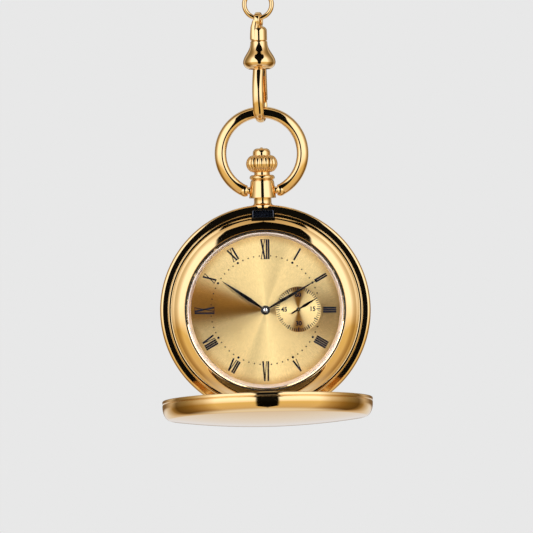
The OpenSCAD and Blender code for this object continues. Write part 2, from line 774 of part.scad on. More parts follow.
module bezel() {
    bottom = seat_front - 0.2;
    flank = step_front + 0.15;
    top = flank + bezel_rise;
    bulge = 0.12;
    slope = [for (i = [0:6]) let (f = i / 6) [slope_r + (glass_bore + 0.15 - slope_r) * f,
        flank + 0.15 + (top - flank - 0.15) * f + bulge * sin(180 * f)]];
    color(gold) watch() difference() {
        ring_of(concat([[rehaut_r + air, bottom], [bezel_r, bottom], [bezel_r, flank - 0.15]], slope,
            [[glass_bore, top - 0.1], [glass_bore, glass_seat], [rehaut_r + air, glass_seat]]));
        translate([-catch_slot / 2, catch_in - crown_push - 0.1, bottom - 1]) cube([catch_slot, 3, 6]);
    }
}

module crystal_gasket() {
    color("dimgray") watch() tube(glass_bore, glass_bore - gasket_t, glass_seat, glass_t);
}

module crystal() {
    r = glass_bore - gasket_t;
    color("aliceblue", 0.3) watch() ring_of(concat([[0, glass_seat], [r, glass_seat]],
        [for (i = [0:16]) let (f = 1 - i / 16) [r * f, glass_seat + glass_t + glass_dome * (1 - f * f)]]));
}

module rehaut_ring() {
    top = glass_seat - air;
    color("mistyrose") watch() ring_of([[dial_view_r, dial_front], [rehaut_r, dial_front], [rehaut_r, top],
        [dial_view_r + 0.55, top]]);
}

// The lid as it stands when shut
module lid_shut() {
    rim_top = lid_lip + lid_rim;
    corner = lid_r - lid_shoulder;
    bend = 80;
    dome_r = corner + lid_shoulder * cos(bend);
    dome_z = rim_top + lid_shoulder * sin(bend);
    inner_r = lid_r - lid_wall;
    notch = 3;
    difference() {
        ring_of(concat([[0, lid_lip], [lid_r - 0.15, lid_lip], [lid_r, lid_lip + 0.15],
            [lid_r, lid_lip + 0.75],
            [lid_r - 0.12, lid_lip + 0.85], [lid_r - 0.12, lid_lip + 0.95], [lid_r, lid_lip + 1.05]],
            arc(corner, rim_top, lid_shoulder, 0, bend), [for (i = [1:8]) let (f = 1 - i / 8)
            [dome_r * f, dome_z + lid_dome * (1 - f * f)]]));
        ring_of(concat([[0, lid_lip - 1], [inner_r, lid_lip - 1], [inner_r, rim_top]],
            arc(corner - lid_wall + lid_skin, rim_top, lid_shoulder - lid_skin, 0, bend),
            [for (i = [1:8]) let (f = 1 - i / 8)
            [(dome_r - lid_wall) * f, dome_z - lid_skin + lid_dome * (1 - f * f)]]));
        translate([-notch, inner_r - 1, lid_lip - 1]) cube([2 * notch, catch_notch - inner_r + 1, 2.7]);
        translate([-lug_out - 0.3, hinge_y - 1, lid_lip - 1])
            cube([2 * lug_out + 0.6, 3, hinge_z - lid_lip + 1 + knuckle_r + 0.25]);
    }
    difference() {
        union() {
            translate([0, hinge_y, hinge_z]) rotate([0, 90, 0])
                cylinder(h = knuckle_w, r = knuckle_r, center = true, $fn = 32);
            translate([-knuckle_w / 2, hinge_y, hinge_z])
                cube([knuckle_w, lid_wall + 0.1, knuckle_r + 0.45]);
        }
        translate([0, hinge_y, hinge_z]) rotate([0, 90, 0])
            cylinder(h = 2 * knuckle_w, r = hinge_pin_r + run, center = true, $fn = 32);
    }
}

module hunter_lid() {
    color(gold) watch() translate([0, hinge_y, hinge_z]) rotate([lid_open, 0, 0])
        translate([0, -hinge_y, -hinge_z]) lid_shut();
}

module lid_hinge_pin() {
    color(steel) watch() translate([0, hinge_y, hinge_z]) rotate([0, 90, 0])
        cylinder(h = 2 * lug_out, r = hinge_pin_r, center = true, $fn = 32);
}

module lid_catch() {
    top = step_front + 0.45;
    color("darkslategray") watch() {
        translate([-catch_w / 2, catch_in, top - 0.9]) cube([catch_w, catch_nose - catch_in, 0.9]);
        translate([-catch_w / 2 + 0.3, catch_in, spigot_r + 0.15])
            cube([catch_w - 0.6, 1.2, top - 0.65 - spigot_r]);
    }
}

module lid_lift_spring() {
    groove_in = case_bore + 0.6;
    low = seat_back - 0.8 + 0.3;
    color(steel) watch() rotate([0, 0, 168]) translate([0, 0, low]) rotate_extrude(angle = 96)
        translate([groove_in + 0.15, 0]) square([1.1, plate_back - low - 0.2]);
}

module movement_ring() {
    flange = seat_front - 0.2;
    out = case_bore - air;
    color(steel) watch() difference() {
        union() {
            tube(out, ring_in, plate_back, dial_back - plate_back);
            tube(out, rehaut_r + 0.1, dial_back - e, flange - dial_back + e);
        }
        rotate([-90, 0, 0]) rod(stem_r + 3 * air, ring_in - 1, 5);
        for (a = case_screw_turns) rotate(a) translate([case_screw_r, 0]) rod(0.6, plate_back - 1, 2);
    }
}

module case_screws() {
    color("steelblue") watch() for (a = case_screw_turns)
        rotate(a) translate([case_screw_r, 0]) difference() {
            union() {
                rod(1.5, plate_back - 0.35, 0.35);
                rod(0.5, plate_back - e, 1.2);
            }
            translate([-2, -0.15, plate_back - 1]) cube([4, 0.3, 0.8]);
        }
}

// Dial and hands

module dial() {
    sub_r = sub_d / 2 * plan;
    color(pale) watch() {
        difference() {
            rod(rehaut_r - air, dial_back, dial_t);
            rod(1, dial_back - 1, 3);
            translate(fourth_at) rod(sub_r, dial_back - 1, 3);
        }
        for (p = foot_at) translate(p) rod(foot_r, plate_front - 0.9, motion_room + 0.9 + e);
    }
}

module seconds_subdial() {
    color(pale) watch() translate(fourth_at) tube(sub_d / 2 * plan + 0.4, 0.3, dial_back - sub_t, sub_t);
}

// A leaf hand that points up, with a narrow neck at its hub
module leaf(length, width, hub, neck) {
    circle(hub);
    polygon([[neck, 0], [neck, hub * 1.5], [width / 2, length * 0.36], [width * 0.28, length * 0.75],
        [0.05, length], [-0.05, length], [-width * 0.28, length * 0.75], [-width / 2, length * 0.36],
        [-neck, hub * 1.5], [-neck, 0]]);
}

module hour_hand() {
    color("black") watch() translate([0, 0, hour_z])
        rotate(-hour_angle) linear_extrude(hand_t) difference() {
            leaf(hour_len * plan, hour_w, 1.15, 0.22);
            circle(0.85);
        }
}

module minute_hand() {
    color("black") watch() translate([0, 0, minute_z])
        rotate(-minute_angle) linear_extrude(hand_t) difference() {
            leaf(minute_len * plan, minute_w, 1.1, 0.2);
            circle(0.55);
        }
}

module seconds_hand() {
    tail = 2;
    color("black") watch() translate(fourth_at) translate([0, 0, second_z]) rotate(-second_angle)
        linear_extrude(hand_t) difference() {
            union() {
                leaf(second_len * plan, 0.5, 0.55, 0.1);
                polygon([[-0.1, 0], [-0.2, -tail * 0.8], [0, -tail], [0.2, -tail * 0.8], [0.1, 0]]);
            }
            circle(pivot_r);
        }
}

// Movement: plate and bridges

module at_each(places) {
    for (p = places) translate(p) children();
}

module mainplate() {
    rim = 1.1;
    floor_z = plate_front - 0.35;
    back = plate_back - e;
    color(pale) watch() difference() {
        union() {
            rod(move_r, plate_back, plate_t);
            difference() {
                tube(move_r, move_r - rim, plate_front - e, motion_room + e);
                translate([-4.5 * plan, 0, plate_front - 1]) cube([9 * plan, 2 * move_r, 3]);
            }
            translate(lever_at) rod(0.3, plate_front - e, keyless_t + air + e);
            translate(yoke_at) rod(0.3, plate_front - e, keyless_t + air + e);
            translate(minute_at) rod(0.2, plate_front - e, 0.7);
            translate(setting_at) rod(0.5, plate_front - e, keyless_t + air + e);
        }
        translate(barrel_at) rod(barrel_m * (barrel_n / 2 + 1) + 0.25, back, floor_z - back);
        rod(centre_m * (centre_n / 2 + 1) + 0.25, back, centre_z + wheel_t + 0.15 - back);
        rod(1.45, back, floor_z - back);
        translate(third_at) rod(third_m * (third_n / 2 + 1) + 0.25, back, third_z + wheel_t + 0.1 - back);
        translate(third_at) rod(1.05, back, floor_z - 0.4 - back);
        translate(fourth_at) rod(fourth_m * (fourth_n / 2 + 1) + 0.25, back, fourth_z + 0.33 - back);
        translate(escape_at) rod(escape_r + 0.3, back, escape_z + 0.22 - back);
        translate(escape_at) rod(0.8, back, fourth_z + 0.33 - back);
        translate(fork_at) rod(3 * plan, back, escape_z + 0.22 - back);
        translate(balance_at) rod(wheel_r + 0.3, back, balance_z + balance_t + 0.15 - back);
        translate(balance_at) rod(1.5, back, escape_z + 0.3 - back);
        translate([0, 0, back]) linear_extrude(fork_back + fork_bridge_t - back)
            link(fork_screw, fork_at, 1);
        translate([-2, slot_y, back]) cube([4, pinion_top + 0.1 - slot_y, plate_t + 1]);
        rotate([-90, 0, 0]) rod(0.25 + run, slot_y - 2, 3);
        rotate([-90, 0, 0]) rod(stem_r + run, slot_y, 8);
        translate([-0.45, groove_y - 0.1, 0.3]) cube([1.5, 1.8, 2]);
        at_each(foot_at) rod(foot_r, plate_front - 1, 2);
        at_each([third_at, escape_at, fork_at, balance_at]) rod(jewel_r, plate_front - jewel_t, 1);
        at_each([centre_at, third_at, fourth_at, escape_at, fork_at, balance_at])
            rod(arbor_r + 0.08, back, 6);
        translate(barrel_at) rod(0.5 + run, back, 6);
        at_each(concat(barrel_screws, train_screws, [cock_screw, fork_screw]))
            rod(bridge_screw_r, back, 1.2 + e);
        for (a = case_screw_turns) rotate(a) translate([case_screw_r, 0]) rod(0.6, back, 1.3);
    }
}

// The bridges' outline over one side of the movement
module bridge_half(side) {
    cut = 0.12;
    intersection() {
        circle(move_r - 0.6);
        union() {
            if (side < 0) polygon(plan * [[-20, 0.9], [-7, -0.6], [-1.6 - cut, 2.2], [-1.6 - cut, 8.2],
                [4.1, 8.6], [9.6, 20], [-20, 20]]);
            if (side > 0) polygon(plan * [[-1.6 + cut, 8], [-1.6 + cut, -2.4], [4.3, -3.2], [7.4, -6.3],
                [11, -8.6], [20, -12], [20, 20], [9.8 + cut, 20], [4.3, 8.4]]);
        }
    }
}

module barrel_bridge() {
    recess = winding_m * (crown_n / 2 + 1) + 0.2;
    color(pale) watch() difference() {
        union() {
            difference() {
                translate([0, 0, bridge_back]) linear_extrude(bridge_t) difference() {
                    bridge_half(-1);
                    for (a = case_screw_turns) rotate(a) translate([case_screw_r, 0]) circle(1.7);
                }
                translate(crown_wheel_at) rod(recess, bridge_back - 1, 1 + bridge_t - 0.15);
            }
            translate(crown_wheel_at) rod(1, winding_back, plate_back - winding_back);
            at_each([click_at, click_foot]) rod(0.4, winding_back, plate_back - winding_back);
        }
        translate(barrel_at) rod(1 + run, bridge_back - 1, 3);
        translate([-1.3, pinion_teeth_y - 0.2, bridge_back - 1]) cube([2.6, 1.25, 3]);
        translate(crown_wheel_at) rod(0.35, winding_back - e, 0.7);
        at_each(barrel_screws) rod(bridge_screw_r, bridge_back - 1, 3);
    }
}

module train_bridge() {
    color(pale) watch() difference() {
        translate([0, 0, bridge_back]) linear_extrude(bridge_t) difference() {
            bridge_half(1);
            for (a = case_screw_turns) rotate(a) translate([case_screw_r, 0]) circle(1.7);
        }
        at_each([centre_at, third_at, fourth_at, escape_at]) rod(jewel_r, bridge_back - 1, 1 + jewel_t);
        at_each([centre_at, third_at, fourth_at, escape_at]) rod(arbor_r + 0.08, bridge_back - 1, 3);
        at_each(train_screws) rod(bridge_screw_r, bridge_back - 1, 3);
    }
}

module balance_cock() {
    top = cock_back;
    arm = top + 0.5;
    color(pale) watch() difference() {
        translate([0, 0, top]) union() {
            linear_extrude(plate_back - top) difference() {
                link(cock_screw + [0.6, -0.9], cock_screw + [-1.7, 1.9], 1.7);
                translate(balance_at) circle(wheel_r + 0.25);
            }
            linear_extrude(arm - top) {
                link(cock_screw, balance_at, 1.3);
                translate(balance_at) circle(1.7);
            }
            translate(balance_at + polar(hairspring_r + hairspring_t / 2 + 0.26,
                aim(balance_at, cock_screw)))
                cylinder(h = balance_z - 0.13 - top, r = 0.25);
        }
        translate(balance_at) rod(jewel_r, top - e, jewel_t + e);
        translate(balance_at) rod(arbor_r + 0.08, top - 1, 3);
        translate(cock_screw) rod(bridge_screw_r, top - 1, 3);
    }
}

module pallet_bridge() {
    color(pale) watch() difference() {
        translate([0, 0, fork_back]) linear_extrude(fork_bridge_t) link(fork_screw, fork_at, 0.9);
        translate(fork_at) rod(pivot_r + run, fork_back - 1, 3);
        translate(fork_screw) rod(bridge_screw_r, fork_back - 1, 3);
    }
}

module one_screw(z, length) {
    difference() {
        union() {
            rod(bridge_screw_head, z - 0.3, 0.3);
            rod(bridge_screw_r, z - e, length);
        }
        translate([-1, -0.12, z - 0.3 - e]) cube([2, 0.24, 0.15]);
    }
}

module bridge_screws() {
    color("steelblue") watch() {
        at_each(concat(barrel_screws, train_screws)) one_screw(bridge_back, 1.2);
        translate(cock_screw) one_screw(cock_back, 1.8);
        translate(fork_screw) one_screw(fork_back, 0.8);
        translate(crown_wheel_at) one_screw(winding_back, 0.6);
    }
}

module jewel(z, hole) {
    tube(jewel_r, hole, z, jewel_t);
}

module jewels() {
    color("crimson") watch() {
        at_each([centre_at, third_at, fourth_at, escape_at]) jewel(bridge_back, pivot_r + run);
        at_each([third_at, escape_at, fork_at, balance_at]) jewel(plate_front - jewel_t, pivot_r + run);
        translate(balance_at) jewel(cock_back, pivot_r + run);
    }
}

// Movement: barrel and winding work

module barrel() {
    r = barrel_m * (barrel_n / 2 - 1.25) - 0.15;
    wall = 0.3;
    lid = 0.22;
    color(pale) watch() translate(barrel_at) difference() {
        union() {
            rod(r, barrel_back, barrel_front - barrel_back);
            pinion(barrel_n, barrel_m, 0, -0.05, 0.4);
        }
        rod(r - wall, barrel_back + lid, barrel_front - barrel_back - 2 * lid);
        rod(1 + run, barrel_back - 1, 4);
    }
}

module mainspring() {
    r = barrel_m * (barrel_n / 2 - 1.25) - 0.15 - 0.3;
    color("slategray") watch() translate(barrel_at)
        spiral(2.05, r - 0.15, mainspring_turns, mainspring_t,
            barrel_back + 0.3, barrel_front - barrel_back - 0.6);
}

module barrel_arbor() {
    color(steel) watch() translate(barrel_at) {
        rod(1, bridge_back + e, barrel_front - bridge_back + e);
        rod(1.85, barrel_back + 0.3, barrel_front - barrel_back - 0.6);
        rod(0.5, barrel_front, plate_front - 0.1 - barrel_front);
        translate([-0.65, -0.65, winding_back - 0.1]) cube([1.3, 1.3, bridge_back - winding_back + 0.2]);
    }
}

module ratchet_wheel() {
    color(steel) watch() translate(barrel_at) translate([0, 0, winding_back]) linear_extrude(ratchet_t)
        difference() {
            polygon(teeth(ratchet_n, winding_m));
            square(1.3, center = true);
        }
}

module crown_wheel() {
    front = plate_back - 0.2;
    color(steel) watch() translate(crown_wheel_at) translate([0, 0, winding_back])
        linear_extrude(front - winding_back) difference() {
            polygon(teeth(crown_n, winding_m, crown_turn));
            circle(1 + run);
        }
}

module click() {
    nose = click_tip - click_at;
    color(steel) watch() translate([0, 0, winding_back]) linear_extrude(ratchet_t) difference() {
        union() {
            translate(click_at) circle(0.9);
            translate(click_at) rotate(atan2(nose[1], nose[0])) polygon([[0, -0.5], [1.3, 0.1],
                [norm(nose) - 0.5, 0.12], [norm(nose), 0], [norm(nose) - 0.1, 0.3], [0.4, 0.6], [0, 0.7]]);
            link(click_at, click_at + [-0.5, -1.9], 0.35);
        }
        translate(click_at) circle(0.4 + run);
    }
}

module click_spring() {
    color(steel) watch() translate([0, 0, winding_back]) linear_extrude(ratchet_t) {
        difference() {
            union() {
                translate(click_foot) circle(0.7);
                link(click_foot, click_at + [-0.5, -1.9] + [0.35 + 0.12 + 0.03, 0], 0.12);
            }
            translate(click_foot) circle(0.4 + run);
        }
    }
}

// Movement: going train

module centre_wheel() {
    color(gold) watch() {
        arbor(bridge_back + 0.02, minute_z + 0.3, arbor_r, pivot_r);
        pinion(centre_p, barrel_m, centre_turn, centre_z + wheel_t - e, 0.5 - centre_z - wheel_t);
        spoked(centre_n, centre_m, 0, centre_z, wheel_t, 1.4, 5, 0.5);
    }
}

module third_wheel() {
    color(gold) watch() translate(third_at) {
        arbor(bridge_back + 0.02, plate_front - 0.02);
        pinion(third_p, centre_m, third_turn, third_z + wheel_t - e, -0.72 - third_z - wheel_t);
        spoked(third_n, third_m, 0, third_z, wheel_t, 0.9, 5, 0.4);
    }
}

module fourth_wheel() {
    color(gold) watch() translate(fourth_at) {
        arbor(bridge_back + 0.02, second_z + hand_t + 0.03);
        pinion(fourth_p, third_m, fourth_turn, third_z - 0.03, wheel_t + 0.12);
        spoked(fourth_n, fourth_m, 0, fourth_z, wheel_t, 0.9, 5, 0.4);
    }
}

module escape_wheel() {
    n = 15;
    color(gold) watch() translate(escape_at) {
        arbor(bridge_back + 0.02, plate_front - 0.02);
        pinion(escape_p, fourth_m, escape_turn, fourth_z - 0.05, 0.28);
        translate([0, 0, escape_z]) linear_extrude(0.14) difference() {
            polygon([for (i = [0:n - 1]) for (k = [[0.8, 0], [1, 9], [0.96, 12], [0.78, 12]])
                polar(escape_r * k[0], i * 360 / n + k[1])]);
            difference() {
                circle(escape_r * 0.62);
                circle(0.7);
                for (i = [0:3]) rotate(90 * i) translate([0, -0.15]) square([escape_r * 0.7, 0.3]);
            }
        }
    }
}

module pallet_fork() {
    to_wheel = aim(fork_at, escape_at);
    to_balance = aim(fork_at, balance_at);
    reach = norm(balance_at - fork_at) - 0.87;
    color(steel) watch() translate(fork_at) {
        arbor(fork_back + 0.02, plate_front - 0.02, 0.2, pivot_r);
        translate([0, 0, escape_z]) linear_extrude(0.14) {
            circle(0.5);
            link([0, 0], polar(reach - 0.5, to_balance), 0.16);
            for (s = [-1, 1]) {
                link([0, 0], polar(1.9, to_wheel + s * 66), 0.15);
                link(polar(reach - 0.5, to_balance), polar(reach, to_balance + s * 7), 0.1);
            }
        }
    }
}

module balance_wheel() {
    rim = 0.6;
    color(gold) watch() translate(balance_at) {
        arbor(cock_back + 0.02, plate_front - 0.02, 0.24, pivot_r);
        translate([0, 0, balance_z]) linear_extrude(balance_t) {
            difference() {
                circle(wheel_r);
                circle(wheel_r - rim);
            }
            circle(0.75);
            for (i = [0:2]) rotate(120 * i + 30) translate([0, -0.22]) square([wheel_r - rim / 2, 0.44]);
        }
        tube(0.55, 0.2, balance_z - 0.35, 0.36);
        rod(0.75, escape_z - 0.2, 0.12);
        rotate(aim(balance_at, fork_at)) translate([0.55, 0, escape_z - 0.1])
            cylinder(h = 0.28, r = 0.12, $fn = 32);
    }
}

module hairspring() {
    color("slategray") watch() translate(balance_at) rotate(aim(balance_at, cock_screw))
        spiral(0.72, hairspring_r, hairspring_turns, hairspring_t, balance_z - 0.33, 0.2);
}

// Movement: motion work and keyless work

module cannon_pinion() {
    color(steel) watch() difference() {
        union() {
            pinion(cannon_n, cannon_m, 0, plate_front + air, 0.3);
            rod(0.55, plate_front + 0.3, minute_z + hand_t - plate_front - 0.3);
        }
        rod(arbor_r, plate_front - 1, 6);
    }
}

module minute_wheel() {
    z = plate_front + air;
    color(gold) watch() translate(minute_at) difference() {
        union() {
            spoked(minute_n, cannon_m, minute_turn, z, 0.2, 0.9, 4, 0.3);
            pinion(minute_p, hour_m, 0, z + 0.2 - e, 0.35);
        }
        rod(0.2 + run, z - 1, 3);
    }
}

module hour_wheel() {
    z = plate_front + air + 0.33;
    color(gold) watch() difference() {
        union() {
            pinion(hour_n, hour_m, hour_turn, z, 0.2);
            rod(0.85, z, hour_z + hand_t - z);
        }
        rod(0.55 + run, z - 1, 6);
    }
}

module setting_wheel() {
    color(steel) watch() translate(setting_at) translate([0, 0, plate_front + air]) linear_extrude(0.2)
        difference() {
            polygon(teeth(setting_n, cannon_m, setting_turn));
            circle(0.5 + run);
            for (i = [0:4]) rotate(72 * i) translate([2, 0]) circle(0.8);
        }
}

module winding_pinion() {
    color(steel) upright() difference() {
        union() {
            pinion(winding_n, winding_m, 0, pinion_teeth_y, pinion_top - pinion_teeth_y);
            rod(1.35, pinion_y, pinion_teeth_y - pinion_y + e);
        }
        rod(stem_r + run, pinion_y - 1, 4);
    }
}

module sliding_pinion() {
    color(steel) upright() difference() {
        union() {
            rod(0.95, clutch_y, clutch_len);
            translate([0, 0, clutch_y]) linear_extrude(0.3) polygon(teeth(17, 0.14));
            rod(1.35, clutch_groove + 0.28, clutch_y + clutch_len - clutch_groove - 0.28);
        }
        translate([-square / 2 - run, -square / 2 - run, clutch_y - 1])
            cube([square + 2 * run, square + 2 * run, 4]);
    }
}

module setting_lever() {
    color(steel) watch() {
        translate([0, 0, keyless_z]) linear_extrude(keyless_t) difference() {
            union() {
                link(lever_at, lever_pin, 0.45);
                translate(lever_at) circle(0.8);
                link(lever_at, lever_at + [1.6, -1.1], 0.35);
            }
            translate(lever_at) circle(0.3 + run);
        }
        translate(lever_pin) rod(0.2, stem_r - 0.19, keyless_z - stem_r + 0.2);
    }
}

module yoke() {
    color(steel) watch() {
        translate([0, 0, keyless_z]) linear_extrude(keyless_t) difference() {
            union() {
                link(yoke_at, yoke_tip, 0.35);
                translate(yoke_at) circle(0.75);
                link(yoke_at, yoke_at + [-2.2, 0.9], 0.35);
            }
            translate(yoke_at) circle(0.3 + run);
        }
        translate(yoke_tip) rod(0.18, 0.3, keyless_z - 0.3 + e);
    }
}

chain_ring();
swivel_eye();
swivel_bell();
clasp_hook();
clasp_gate();
clasp_gate_pin();
clasp_spring();
bow();
bow_pins();
pendant();
pendant_sleeve();
crown();
crown_spring();
winding_stem();
case_middle();
rear_cover();
bezel();
crystal_gasket();
crystal();
rehaut_ring();
hunter_lid();
lid_hinge_pin();
lid_catch();
lid_lift_spring();
movement_ring();
case_screws();
dial();
seconds_subdial();
hour_hand();
minute_hand();
seconds_hand();
mainplate();
barrel_bridge();
train_bridge();
balance_cock();
pallet_bridge();
bridge_screws();
jewels();
barrel();
mainspring();
barrel_arbor();
ratchet_wheel();
crown_wheel();
click();
click_spring();
centre_wheel();
third_wheel();
fourth_wheel();
escape_wheel();
pallet_fork();
balance_wheel();
hairspring();
cannon_pinion();
minute_wheel();
hour_wheel();
setting_wheel();
winding_pinion();
sliding_pinion();
setting_lever();
yoke();
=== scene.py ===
"""Hunter-case pocket watch on its swivel clasp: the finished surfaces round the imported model.

Lengths are in millimetres until a point is placed, and in metres after that.
On the watch itself a point is (x, y, z): x to the right, y up to the crown, z towards the viewer.
"""
import json
import math

import bmesh
import bpy
from bpy.props import FloatProperty, FloatVectorProperty, IntProperty, PointerProperty
from mathutils import Matrix, Vector

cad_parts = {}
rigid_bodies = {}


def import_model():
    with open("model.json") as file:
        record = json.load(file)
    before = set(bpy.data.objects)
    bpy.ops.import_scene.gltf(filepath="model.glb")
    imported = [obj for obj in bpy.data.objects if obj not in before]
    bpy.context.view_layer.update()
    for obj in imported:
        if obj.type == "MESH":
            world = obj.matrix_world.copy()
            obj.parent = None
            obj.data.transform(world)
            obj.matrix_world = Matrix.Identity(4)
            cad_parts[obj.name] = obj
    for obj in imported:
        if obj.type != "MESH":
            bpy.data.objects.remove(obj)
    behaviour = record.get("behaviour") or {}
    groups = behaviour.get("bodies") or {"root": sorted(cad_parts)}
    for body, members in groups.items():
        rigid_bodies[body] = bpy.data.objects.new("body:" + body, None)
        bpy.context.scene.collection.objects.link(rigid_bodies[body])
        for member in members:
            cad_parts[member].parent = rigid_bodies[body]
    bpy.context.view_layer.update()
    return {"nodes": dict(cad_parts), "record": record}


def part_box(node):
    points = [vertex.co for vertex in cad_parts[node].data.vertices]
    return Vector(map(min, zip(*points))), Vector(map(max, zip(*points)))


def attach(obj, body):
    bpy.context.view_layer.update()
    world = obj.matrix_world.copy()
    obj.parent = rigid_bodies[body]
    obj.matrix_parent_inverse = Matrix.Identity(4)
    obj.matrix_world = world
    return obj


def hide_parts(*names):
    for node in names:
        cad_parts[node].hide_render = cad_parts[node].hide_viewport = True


bl_info = {
    "name": "Hunter pocket watch",
    "version": (1, 0, 0),
    "blender": (4, 5, 0),
    "location": "View3D > Sidebar > Watch",
    "description": "Builds the finished surfaces of a hunter-case pocket watch on its clasp",
    "category": "Object",
}

for unused in list(bpy.data.objects):
    bpy.data.objects.remove(unused)
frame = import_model()

# One millimetre in metres, and the steps round a large turned piece
MM = 0.001
ROUND = 256


def half_width(node):
    """Half of a node's width, in mm."""
    low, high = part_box(node)
    return (high.x - low.x) / 2 / MM


def front_of(node):
    """How far a node stands towards the viewer, in mm."""
    return -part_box(node)[0].y / MM


def back_of(node):
    """How far a node reaches away from the viewer, in mm, as a depth on the watch."""
    return -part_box(node)[1].y / MM


def height_of(node, end):
    """A node's lowest (0) or highest (1) point over the chain ring's centre, in mm."""
    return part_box(node)[end].z / MM


# The case in mm: its height over the chain ring, radii from its axis, and depths towards the viewer
CASE_Z = (height_of("crystal", 0) + height_of("crystal", 1)) / 2
BAND_R = half_width("case_middle")
LID_R = half_width("hunter_lid")
STEP_R = LID_R - 1.1
BEZEL_R = STEP_R - 0.9
GLASS_R = half_width("crystal")
GASKET_R = half_width("crystal_gasket")
REHAUT_R = half_width("rehaut_ring")
DIAL_FRONT = front_of("dial")
DIAL_BACK = DIAL_FRONT - 0.4
SEAT_FRONT = DIAL_FRONT + 0.3
SEAT_BACK = SEAT_FRONT - 4.8
STEP_FRONT = SEAT_FRONT + 0.8
GLASS_SEAT = back_of("crystal_gasket")
SUB_X = (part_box("seconds_subdial")[0].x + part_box("seconds_subdial")[1].x) / 2 / MM

# The axes of the lid and the bow, and the angles that the lid and the hook stand at
HINGE_Y = -(LID_R + 0.1)
HINGE_Z = SEAT_FRONT + 1.5
LID_OPEN = math.radians(83.5)
HOOK_TURN = math.radians(-12)
PIVOT_Y = BAND_R + 3.6

# The clasp in mm: heights over the chain ring's centre, and the hook's thickness and bend at its foot
BELL_TOP = height_of("swivel_bell", 1)
BELL_Z = height_of("swivel_bell", 0)
BOW_WIRE = 2.87
HOOK_PLAY = 0.03
HOOK_THICK = 1.15
HOOK_BEND = 2.6
BAR_Z = height_of("bow", 1) - BOW_WIRE - HOOK_PLAY - HOOK_THICK / 2
NOSE_Z = BAR_Z + HOOK_BEND + 2.5

# Turns that lay a drawing's Z axis along -Y and along X
UPRIGHT = Matrix.Rotation(math.pi / 2, 4, 'X')
ACROSS = Matrix.Rotation(math.pi / 2, 4, 'Y')

# The places that drawings in mm are laid in
WATCH = Matrix.Translation((0, 0, CASE_Z * MM)) @ UPRIGHT @ Matrix.Scale(MM, 4)
PENDANT = Matrix.Translation((0, 0, CASE_Z * MM)) @ Matrix.Scale(MM, 4)
CHAIN = Matrix.Scale(MM, 4)
HOOK = Matrix.Rotation(HOOK_TURN, 4, 'Z') @ Matrix.Scale(MM, 4)
HINGE = Matrix.Translation((0, HINGE_Y, HINGE_Z))
OPEN_LID = WATCH @ HINGE @ Matrix.Rotation(LID_OPEN, 4, 'X') @ HINGE.inverted()

# The stage in metres: the middle of the light and of the picture
LIGHT_MIDDLE = (0, 0, -0.07)
PICTURE_MIDDLE = (0.000535, 0, -0.06488)
PALE = "#E8E8E8"


def linear(code):
    """An sRGB hex colour as linear numbers."""
    parts = [int(code[i:i + 2], 16) / 255 for i in (1, 3, 5)]
    return tuple(p / 12.92 if p <= 0.04045 else ((p + 0.055) / 1.055) ** 2.4 for p in parts) + (1.0,)


# Settings


class WatchCaseSettings(bpy.types.PropertyGroup):
    """Sizes of the case, the bezel and the lid."""

    band_edge: FloatProperty(name="Band edge", description="Radius of the band's rounded edges, mm",
                             default=0.8, min=0.3, max=1.2)
    step_chamfer: FloatProperty(name="Step chamfer", description="Width of the step's bright edge, mm",
                                default=0.2, min=0.05, max=0.4)
    edge_break: FloatProperty(name="Edge break", description="Width of the softened corners, mm",
                              default=0.07, min=0.02, max=0.2)
    bezel_bulge: FloatProperty(name="Bezel bulge",
                               description="Rise of the bezel's slope over a straight cone, mm",
                               default=0.2, min=0.0, max=0.5)
    lid_shoulder: FloatProperty(name="Lid shoulder", description="Radius of the lid's shoulder, mm",
                                default=1.8, min=1.5, max=3.0)
    lid_dome: FloatProperty(name="Lid dome", description="Rise of the lid's dome over its shoulder, mm",
                            default=1.7, min=1.0, max=2.4)


class WatchCrownSettings(bpy.types.PropertyGroup):
    """Sizes of the pendant, the crown and the bow."""

    crown_ribs: IntProperty(name="Crown ribs", description="Number of ribs round the crown",
                            default=18, min=12, max=24)
    rib_depth: FloatProperty(name="Rib depth",
                             description="Depth of the crown's flutes as a share of its radius",
                             default=0.075, min=0.02, max=0.2)
    bow_wire: FloatProperty(name="Bow wire", description="Thickness of the bow, mm",
                            default=BOW_WIRE, min=2.0, max=3.2)


class WatchDialSettings(bpy.types.PropertyGroup):
    """Sizes of the dial's print and of the hands."""

    print_turn: FloatProperty(name="Print turn", description="How far the dial is set round in its case",
                              default=math.radians(-1.0), subtype='ANGLE')
    dot_circle: FloatProperty(name="Dot circle", description="Radius of the circle of minute dots, mm",
                              default=13.4, min=12.0, max=14.0)
    stroke: FloatProperty(name="Stroke", description="Width of a numeral's heavy stroke, mm",
                          default=0.42, min=0.2, max=0.6)
    hair_stroke: FloatProperty(name="Hair stroke", description="Width of a numeral's light stroke, mm",
                               default=0.2, min=0.1, max=0.4)
    print_height: FloatProperty(name="Print height", description="How far the print stands on the dial, mm",
                                default=0.03, min=0.01, max=0.1)
    hour_len: FloatProperty(name="Hour hand", description="Length of the hour hand, mm", default=12.7)
    minute_len: FloatProperty(name="Minute hand", description="Length of the minute hand, mm", default=14.6)
    second_len: FloatProperty(name="Seconds hand", description="Length of the seconds hand, mm",
                              default=5.1)


class WatchFinishSettings(bpy.types.PropertyGroup):
    """Colours of the two gilt finishes."""

    gold: FloatVectorProperty(name="Gold", description="Polished yellow gold plate", subtype='COLOR',
                              size=3, default=linear("#FFDFAA")[:3], min=0.0, max=1.0)
    dial: FloatVectorProperty(name="Dial", description="Brushed gold of the dial", subtype='COLOR',
                              size=3, default=linear("#FFE2A2")[:3], min=0.0, max=1.0)


